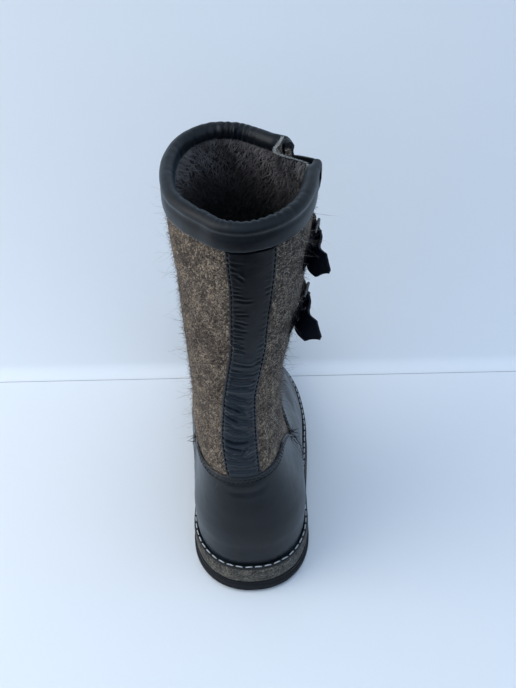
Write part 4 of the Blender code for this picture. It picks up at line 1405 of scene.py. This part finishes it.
# Along, out, lean in degrees, and half width as a share.
STRAP_PATH = (
    (-16.0, 1.7, 0, 1.0),
    (-9.5, 3.5, 0, 1.0),
    (-4.5, 5.5, 0, 1.0),
    (0.0, 6.8, 0, 1.0),
    (4.5, 6.3, 8, 1.0),
    (10.0, 4.4, 19, 1.0),
    (15.5, 4.2, 16, 1.0),
    (21.0, 5.6, 12, 1.0),
    (26.5, 9.2, 12, 1.0),
    (28.8, 11.2, 13, 0.64),
    (33.4, 14.6, 13, 0.08),
)
TAB_PATH = (
    (20.0, 0.9),
    (12.0, 0.9),
    (5.5, 1.0),
    (2.2, 1.2),
    (0.0, 1.4),
    (-1.5, 1.9),
    (-2.1, 3.3),
    (-1.5, 4.7),
    (0.0, 5.2),
    (1.4, 4.6),
    (2.8, 3.2),
    (5.5, 2.3),
    (8.0, 2.1),
    (11.0, 2.0),
)


def shaft_up(angle, level):
    """The direction up the shaft, read over a part of a level."""
    return unit(felt_ring(angle, level + 0.2) - felt_ring(angle, level - 0.2))


class BuckleAxes:
    """Places points given along the strap, out from the felt and up the shaft."""

    def __init__(self, z, turn):
        angle = math.radians(turn)
        level = level_at(angle, z)
        self.z, self.angle = z, angle
        self.origin = felt_ring(angle, level)
        along = felt_ring(angle - 0.03, level) - felt_ring(angle + 0.03, level)
        self.turn_per_mm = 0.06 / np.linalg.norm(along)
        up = shaft_up(angle, level)
        self.s = unit(along)
        self.w = unit(up - np.dot(up, self.s) * self.s)
        self.out = np.cross(self.w, self.s)

    def place(self, s, out, w=0.0):
        s, out, w = (np.asarray(part, float)[..., None] for part in (s, out, w))
        return self.origin + s * self.s + out * self.out + w * self.w

    def on_felt(self, s, out):
        """A point whose distance out is counted from the curved felt."""
        angle = self.angle - s * self.turn_per_mm
        felt = felt_ring(angle, level_at(angle, self.z))
        return self.place(s, out + np.dot(felt - self.origin, self.out))


def ribbon(name, centres, halves, thickness, columns, rows, shape=None):
    """A band along its centre points, with a half-width direction at each, and a wall."""
    centres, halves = np.array(centres), np.array(halves)
    last = len(centres) - 1

    def place(u, v):
        at, side = v * last, 2 * u - 1
        half = np.stack([np.interp(at, np.arange(last + 1), part) for part in halves.T], -1)
        ahead = curve_through(centres, np.minimum(last, at + 0.05))
        behind = curve_through(centres, np.maximum(0, at - 0.05))
        out = unit(np.cross(half, ahead - behind))
        lift = thickness / 2 + (shape(side) if shape else 0 * at)
        return curve_through(centres, at) + side[..., None] * half + lift[..., None] * out

    band = wrapped(name, columns, rows, place)
    thicken(band, thickness)
    return band


def cut_slot(band, axes, s_range, out_range):
    """Cuts the hole that the prong stands in."""
    nothing_selected()
    bpy.ops.mesh.primitive_cube_add(size=1)
    tool = bpy.context.active_object
    low, high = np.transpose([s_range, out_range, (-SLOT_HALF, SLOT_HALF)])
    corners = mix(low, high, get_points(tool) + 0.5)
    set_points(tool, metres(axes.place(*corners.T)))
    on_all_of(tool, bpy.ops.mesh.normals_make_consistent, inside=False)
    cut_away(band, tool)


def make_strap(row, axes):
    """A strap, from where it is sewn on at the front of the shaft to its loose tail."""
    centres, halves = [], []
    for corner in range(SEWN_FROM, SEWN_TO - 1, -1):
        angle = CORNER * corner
        level = level_at(angle, row.z)
        felt, _, _, out = face_frame(angle, level)
        up = shaft_up(angle, level)
        centres.append(felt + (SEAM_GAP + STRAP / 2 + 0.1) * out)
        halves.append(STRAP_HALF * (0.8 if corner == SEWN_FROM else 1.0) * up)
    for s, out, lean, share in STRAP_PATH:
        bent = max(0.0, s / STRAP_PATH[-1][0]) ** 2
        lean = math.radians(lean)
        centres.append(axes.place(s, out + row.tail_flare * bent, row.tail_lift * bent))
        halves.append(STRAP_HALF * share * (math.cos(lean) * axes.w + math.sin(lean) * axes.out))

    def beside_edges(side):
        return -0.16 * bump(np.abs(side) - 0.80, 0.07)

    name = "strap_" + row.name
    strap = ribbon(name + "_leather", centres, halves, STRAP, 24, 190, beside_edges)
    cut_slot(strap, axes, (-10.4, 3.4), (1.5, 9.0))
    soften_edges(strap, 0.4)
    roughen(strap, 7.0, 0.2)
    smooth_shading(strap)
    dress(strap, "black_leather", strap_leather, name)


def make_tab(row, axes):
    """The leather tab that is folded round the buckle's rear bar and sewn to the felt."""
    centres = [axes.on_felt(s, out) for s, out in TAB_PATH]
    halves = [(STRAP_HALF - 1.2) * axes.w] * len(TAB_PATH)
    name = "buckle_tab_" + row.name
    tab = ribbon(name + "_leather", centres, halves, TAB, 16, 110)
    cut_slot(tab, axes, (-4.0, 3.8), (-2.0, 8.0))
    soften_edges(tab, 0.3)
    smooth_shading(tab)
    dress(tab, "black_leather", strap_leather, name)


def wire(name, path, radius, side, closed, columns, rows):
    """A round wire along a path whose bends lie square to the direction side."""
    path = np.array(path[-1:] + path + path[:2] if closed else path)
    last = len(path) - 1
    first, final = (1, last - 1) if closed else (0, last)

    def place(u, v):
        at, turn = mix(first, final, v), -TURN * u[..., None]
        ahead = curve_through(path, np.minimum(at + 0.02, last))
        behind = curve_through(path, np.maximum(at - 0.02, 0))
        run = ahead - behind
        across = unit(np.cross(run, side))
        above = unit(np.cross(across, run))
        return curve_through(path, at) + radius * (np.cos(turn) * across + np.sin(turn) * above)

    made = wrapped(name, columns, rows, place, joined=True)
    on_all_of(made, bpy.ops.mesh.fill_holes, sides=0)
    on_all_of(made, bpy.ops.mesh.normals_make_consistent, inside=False)
    if not closed:
        soften_edges(made, 0.3, 3)
    smooth_shading(made, 60)
    return made


def make_buckle(row, axes):
    """The buckle's wire frame, and the prong whose eye goes round its rear bar."""
    slope = (FRONT_BAR_OUT - BAR_OUT) / FRAME_LENGTH
    near, far, half = -FRAME_CORNER, FRAME_CORNER - FRAME_LENGTH, FRAME_HALF - FRAME_CORNER
    path = []
    for quarter, (s, w) in enumerate(((near, half), (far, half), (far, -half), (near, -half))):
        for turn in (0, 30, 60, 90):
            angle = math.radians(90 * quarter + turn)
            along, up = s + FRAME_CORNER * math.cos(angle), w + FRAME_CORNER * math.sin(angle)
            path.append(axes.place(along, BAR_OUT - slope * along, up))
    name = "buckle_" + row.name
    frame_wire = wire(name + "_metal", path, WIRE, axes.out, True, 20, 160)
    dress(frame_wire, "dark_nickel", dark_nickel, name)
    eye = WIRE + GAP + PRONG
    path = []
    for turn in (-150, -120, -90, -60, -30, 0, 30, 60, 88):
        angle = math.radians(turn)
        path.append(axes.place(eye * math.cos(angle), BAR_OUT + eye * math.sin(angle)))
    path.append(axes.place(-5.0, BAR_OUT + eye + 0.5))
    path.append(axes.place(1.0 - FRAME_LENGTH, FRONT_BAR_OUT + eye + 0.05))
    path.append(axes.place(-2.2 - FRAME_LENGTH, FRONT_BAR_OUT + eye + 0.1))
    name = "prong_" + row.name
    prong = wire(name + "_metal", path, PRONG, axes.w, False, 16, 90)
    dress(prong, "dark_nickel", dark_nickel, name)


make_sole()
make_welt()
for row in STRAPS:
    axes = BuckleAxes(row.z, row.turn)
    make_strap(row, axes)
    make_tab(row, axes)
    make_buckle(row, axes)
make_stitches()

# ---- wool -----------------------------------------------------------------------------------

HAIR_REACH = 10.0  # how far past the solids' box a hair may stand
WOOL_SPAN = (84.0, 330.0)  # heights
WOOL_OUT = 0.25  # how far out of the felt's face its loose wool starts
THREAD_ENDS = 12
STRAP_REACH = 0.25  # how far round from its buckle a strap lies close on the felt, as an angle


def hairs(
    name, roots, starts, flats, lengths, widths, curl, tones, finish,
    droop=0.0, segments=4, slot="brown_felt",
):
    """Flat tapering hairs. Each leaves its root along starts, and its face looks along flats."""
    count = len(roots)
    centre, ahead = roots.copy(), unit(starts)
    step = (lengths / segments)[:, None]
    sway = rng.normal(0, 1, (count, 3))
    rails = []
    for k in range(segments + 1):
        across = unit(np.cross(flats, ahead))
        half = (widths * (0.5 - 0.42 * k / segments))[:, None] * across
        rails.append(np.stack([centre - half, centre + half], 1))
        ahead = unit(ahead + curl * (sway + rng.normal(0, 0.6, (count, 3))) / segments)
        ahead = unit(ahead + np.array([0.0, 0.0, -droop / segments]))
        centre = centre + step * ahead
    points = metres(np.stack(rails, 1))
    low, high = np.array(cad_box)
    near = (points > low - HAIR_REACH * MM) & (points < high + HAIR_REACH * MM)
    near = np.all(near, axis=(1, 2, 3))
    points, tones = points[near], np.clip(np.asarray(tones)[near], 0, 1)
    first = (np.arange(len(points)) * 2 * (segments + 1))[:, None, None]
    strip = 2 * np.arange(segments)[None, :, None]
    faces = (first + strip + np.array([0, 2, 3, 1])).reshape(-1, 4)
    piece = new_piece(name, points.reshape(-1, 3), faces.tolist())
    tone = piece.data.attributes.new("tone", "FLOAT", "POINT")
    tone.data.foreach_set("value", np.repeat(tones, 2 * (segments + 1)))
    dress(piece, slot, finish)


def felt_spots(count):
    """Random places on the felt that shows: angle and level, clear of what lies on it."""
    angle = rng.uniform(0, TURN, count * 2)
    z = rng.uniform(*WOOL_SPAN, count * 2)
    level = level_at(angle, z)
    rear, front = slit_edges(z)
    in_slit = (z > SLIT_FOOT_Z - 2) & (angle > rear - 0.03) & (angle < front + 0.03)
    x, y, _ = felt_ring(angle, level).T
    top = np.where(y < 90, np.interp(y, *zip(*COUNTER_TOP)), np.interp(y, *zip(*VAMP_TOP)))
    heights, centres, halves = zip(*STAY)
    from_stay = np.abs(x - np.interp(z, heights, centres)) - np.interp(z, heights, halves)
    on_stay = (from_stay < -0.7) & (y < 60)
    keep = ~in_slit & ~on_stay & (z > top - 0.3) & (level < TOP_LEVEL - 0.35)
    for row in STRAPS:
        start, end = math.radians(row.turn) - STRAP_REACH, SEWN_FROM * CORNER + 0.01
        beside = (angle > start) & (angle < end)
        keep &= ~(beside & (np.abs(z - row.z) < STRAP_HALF + 0.5))
    return angle[keep][:count], level[keep][:count]


def wool_on(name, count, length, width, lift, curl, low_tone, droop):
    angle, level = felt_spots(count)
    felt, along, up, out = face_frame(angle, level)
    count = len(angle)
    turn = rng.uniform(0, TURN, (count, 1))
    rise = lift * rng.uniform(0.2, 1.0, (count, 1))
    start = np.cos(turn) * along + np.sin(turn) * up + rise * out
    lengths, widths = rng.uniform(*length, count), rng.uniform(*width, count)
    tones = mix(low_tone, 1.0, rng.beta(0.65, 0.75, count))
    root = felt + WOOL_OUT * out
    hairs(name, root, start, out, lengths, widths, curl, tones, wool_hair, droop)


def pile(name, roots, along, up, out, locks, pale=1.0):
    """Wool that hangs in tangled locks, over roots on a lining. Painted light makes it paler
    towards the rim and the sides, and painted shade darkens it deeper in the shaft.
    """
    count, (x, y, z) = len(roots), roots.T
    start = -0.6 * out - 0.7 * up + 0.5 * rng.normal(0, 1, (count, 1)) * along
    lock_tone = 0.5 + 0.5 * np.sin(locks * 137.0 + z / 7.0) * np.sin(locks * 59.0 - z / 11.0)
    patch_tone = 0.5 + 0.5 * np.sin(x / 5.0 + z / 8.0) * np.sin(y / 6.0 - z / 9.0)
    tones = 0.12 + 0.28 * lock_tone + 0.36 * patch_tone + 0.2 * rng.beta(0.8, 1.2, count)
    # Painted light and shade: the pile is paler towards the shaft's sides and the rim, and nearly
    # black deeper in the shaft.
    side_light = mix(1.0, 1.5, soft_step(18.0, 40.0, np.abs(x)))
    tones = pale * tones * mix(0.02, 1.4, soft_step(279.0, 333.0, z)) * side_light
    lengths, widths = rng.uniform(3.0, 8.0, count), rng.uniform(0.5, 0.95, count)
    hairs(name, roots, start, -out, lengths, widths, 1.1, tones, pile_hair, 0.5)


def line_with_pile():
    count = 15500
    angle = rng.uniform(0, TURN, count)
    z = 342.0 - 120.0 * rng.beta(1.0, 1.5, count)
    locks = np.round(angle * 16 + 0.9 * np.sin(z / 9)) / 16
    angle = mix(angle, locks, rng.uniform(0.2, 0.8, count))
    level = np.minimum(level_at(angle, z), TOP_LEVEL - 0.15)
    rear, front = slit_edges(z)
    keep = (angle % TURN < rear - 0.02) | (angle % TURN > front + 0.02)
    felt, along, up, out = face_frame(angle[keep], level[keep])
    pile("lining_pile", felt - (FELT - 0.2) * out, along, up, out, locks[keep])
    u, v = rng.uniform(0.06, 0.92, 3000), 1 - 0.9 * rng.beta(1.0, 1.5, 3000)
    locks = np.round(u * 9 + 0.5 * np.sin(v * 9)) / 9
    u = mix(u, locks, rng.uniform(0.1, 0.6, len(u)))
    face = gusset_place(u, v)
    along, up = unit(gusset_place(u + 0.01, v) - face), unit(gusset_place(u, v + 0.01) - face)
    out = unit(np.cross(along, up))
    pile("gusset_pile", face - (GUSSET - 0.1) * out, along, up, out, locks, 0.67)


def fringe_gusset():
    """Cream wool that stands out of the gusset's cut edge, thickest at its fold."""
    count = 600
    u = np.concatenate([rng.uniform(0.03, 0.97, count // 2), rng.normal(0.72, 0.14, count // 2)])
    u, v = np.clip(u, 0.03, 0.97), np.ones(count)
    face = gusset_place(u, v)
    along, up = unit(gusset_place(u + 0.01, v) - face), unit(face - gusset_place(u, v - 0.02))
    out = unit(np.cross(along, up))
    start = 0.7 * up + rng.normal(0, 0.6, (count, 3)) - 0.3 * out
    root = face - rng.uniform(0.1, GUSSET, (count, 1)) * out - 0.3 * up
    tones = mix(0.0, 0.85, soft_step(0.2, 0.65, u)) * rng.uniform(0.6, 1.0, count)
    lengths, widths = rng.uniform(0.5, 1.6, count), rng.uniform(0.3, 0.6, count)
    hairs("gusset_fringe", root, start, up + 0.5 * out, lengths, widths, 1.2, tones, cream_hair)


def loose_threads():
    """Thread ends that curl out where the counter, the vamp and the felt meet, on both sides."""
    roots, starts = [], []
    for hand, turn in zip(HANDS, counter_panel.corner_turn):
        z = rng.uniform(80.0, 92.0, THREAD_ENDS)
        angle = hand * turn + rng.uniform(-0.06, 0.04, THREAD_ENDS)
        roots.append(upper_face(angle, level_at(angle, z), PANEL_OUT))
        out = np.array([0.8 * hand, -0.9, 0.3])
        starts.append(out + rng.normal(0, 0.5, (THREAD_ENDS, 3)))
    roots, starts = np.concatenate(roots), np.concatenate(starts)
    count = len(roots)
    lengths, widths = rng.uniform(4.0, 9.0, count), rng.uniform(0.5, 0.8, count)
    flats, tones = np.tile((0.0, -0.7, 0.7), (count, 1)), np.zeros(count)
    hairs(
        "loose_threads", roots, starts, flats, lengths, widths, 1.8, tones, dark_thread,
        droop=0.3, segments=9, slot=None,
    )


line_with_pile()
fringe_gusset()
loose_threads()
# Name, count, span of lengths, span of widths, lift off the felt, curl, darkest tone and droop.
wool_on("felt_wool", 13500, (2.6, 7.5), (0.22, 0.46), 0.12, 0.6, 0.0, 0.3)
wool_on("edge_fuzz", 4000, (1.6, 4.0), (0.09, 0.16), 0.9, 1.6, 0.2, 0.2)
wool_on("stray_hairs", 700, (9.0, 24.0), (0.18, 0.26), 1.0, 2.2, 0.3, 0.2)

# ---- the studio -----------------------------------------------------------------------------

CAMERA_PLACE = (-9.0, -630.0, 681.0)
CAMERA_PITCH, CAMERA_YAW, CAMERA_ROLL = 0.64, 0.03, -0.03
LENS = 57.6


def add_camera():
    pitch, yaw, roll = CAMERA_PITCH, CAMERA_YAW, CAMERA_ROLL
    level = math.cos(pitch)
    ahead = Vector((math.sin(yaw) * level, math.cos(yaw) * level, -math.sin(pitch)))
    right = Vector((math.cos(yaw), -math.sin(yaw), 0.0))
    up = right.cross(ahead)
    turned_right = math.cos(roll) * right + math.sin(roll) * up
    turned_up = math.cos(roll) * up - math.sin(roll) * right
    lens = bpy.data.cameras.new("camera")
    lens.lens = LENS
    camera = bpy.data.objects.new("camera", lens)
    turn = Matrix((turned_right, turned_up, -ahead)).transposed().to_4x4()
    camera.matrix_world = Matrix.Translation(Vector(CAMERA_PLACE) * MM) @ turn
    bpy.context.scene.collection.objects.link(camera)
    bpy.context.scene.camera = camera


def backdrop_finish(name, colour):
    finish = Finish(name, Roughness=0.8, Specular_IOR_Level=0.1)
    finish.colour(colour)
    return finish.material


WALL_TURN = math.radians(2.52)
FLOOR_END = (-6.0, 276.6, 0.0)  # where the wall's paper meets the floor's
FLOOR_DEPTH = 560.0  # from the wall's paper to the table's front edge
WALL_FOOT = 12.8  # how far the wall's paper lies on the table before it turns up
JOIN = 0.7  # the shaded joint between the two papers


def stage_sheet(name, near, far, finish, width=8.0, height=0.0):
    """A flat sheet that runs from near to far of the papers' joint, in mm."""
    nothing_selected()
    bpy.ops.mesh.primitive_plane_add(size=1)
    sheet = bpy.context.active_object
    sheet.name = name
    x, y, _ = get_points(sheet).T
    end_x, end_y, _ = metres(FLOOR_END)
    y = np.where(y < 0, near * MM, far * MM)
    set_points(sheet, np.stack([end_x + width * x, end_y + y, 0 * y + height * MM], -1))
    paint(sheet, finish)
    return sheet


def turn_sheet(sheet):
    pivot = tuple(metres(FLOOR_END))
    rotate = bpy.ops.transform.rotate
    on_all_of(sheet, rotate, value=WALL_TURN, orient_axis="Z", center_override=pivot)


def make_stage():
    """A white table top, a wall sheet that turns up behind the toe, and darker ground in front that
    is painted shade for the room before the table.
    """
    white = backdrop_finish("white_paper", (0.83, 0.83, 0.83))
    shade = backdrop_finish("joint_shade", (0.30, 0.31, 0.33))
    dark = backdrop_finish("dark_ground", (0.03, 0.03, 0.03))
    turn_sheet(stage_sheet("table", -FLOOR_DEPTH, -JOIN / 2, white))
    # A dark sheet under the gap between the papers: painted shade along their joint.
    turn_sheet(stage_sheet("papers_joint", -3.0, 3.0, shade, height=-0.3))
    # The dark ground is painted shade: it stands for the shaded room in front of the table.
    turn_sheet(stage_sheet("ground", -6000.0, -FLOOR_DEPTH, dark, 12.0, -2.0))
    wall = stage_sheet("wall", JOIN / 2, WALL_FOOT, white)
    far = get_points(wall)[:, 1].max()
    only(wall)
    bpy.ops.object.mode_set(mode="EDIT")
    bpy.ops.mesh.select_all(action="DESELECT")
    bpy.ops.object.mode_set(mode="OBJECT")
    for edge in wall.data.edges:
        edge.select = all(wall.data.vertices[k].co.y > far - MM for k in edge.vertices)
    bpy.ops.object.mode_set(mode="EDIT")
    bpy.ops.mesh.extrude_edges_move(TRANSFORM_OT_translate={"value": (0, 0, 4.0)})
    bpy.ops.object.mode_set(mode="OBJECT")
    soften_edges(wall, 12.0, 8)
    smooth_shading(wall)
    turn_sheet(wall)


def light_studio():
    """Soft cool light from all round, and a warmer window on the boot's inner side."""
    world = bpy.data.worlds.new("studio")
    bpy.context.scene.world = world
    world.use_nodes = True
    world.node_tree.nodes["Background"].inputs["Color"].default_value = (0.60, 0.79, 1.06, 1.0)
    world.node_tree.nodes["Background"].inputs["Strength"].default_value = 1.12
    key = bpy.data.lights.new("window", "AREA")
    key.shape, key.size = "SQUARE", 1.6
    key.energy, key.color = 16.5, (1.0, 0.95, 0.84)
    lamp = bpy.data.objects.new("window", key)
    target = Vector((0.0, 0.05, 0.12))
    lamp.location = target + 1.6 * Vector((-0.80, -0.16, 0.57))
    lamp.rotation_euler = (target - lamp.location).to_track_quat("-Z", "Y").to_euler()
    bpy.context.scene.collection.objects.link(lamp)
    bpy.context.scene.view_settings.view_transform = "Standard"


add_camera()
make_stage()
light_studio()
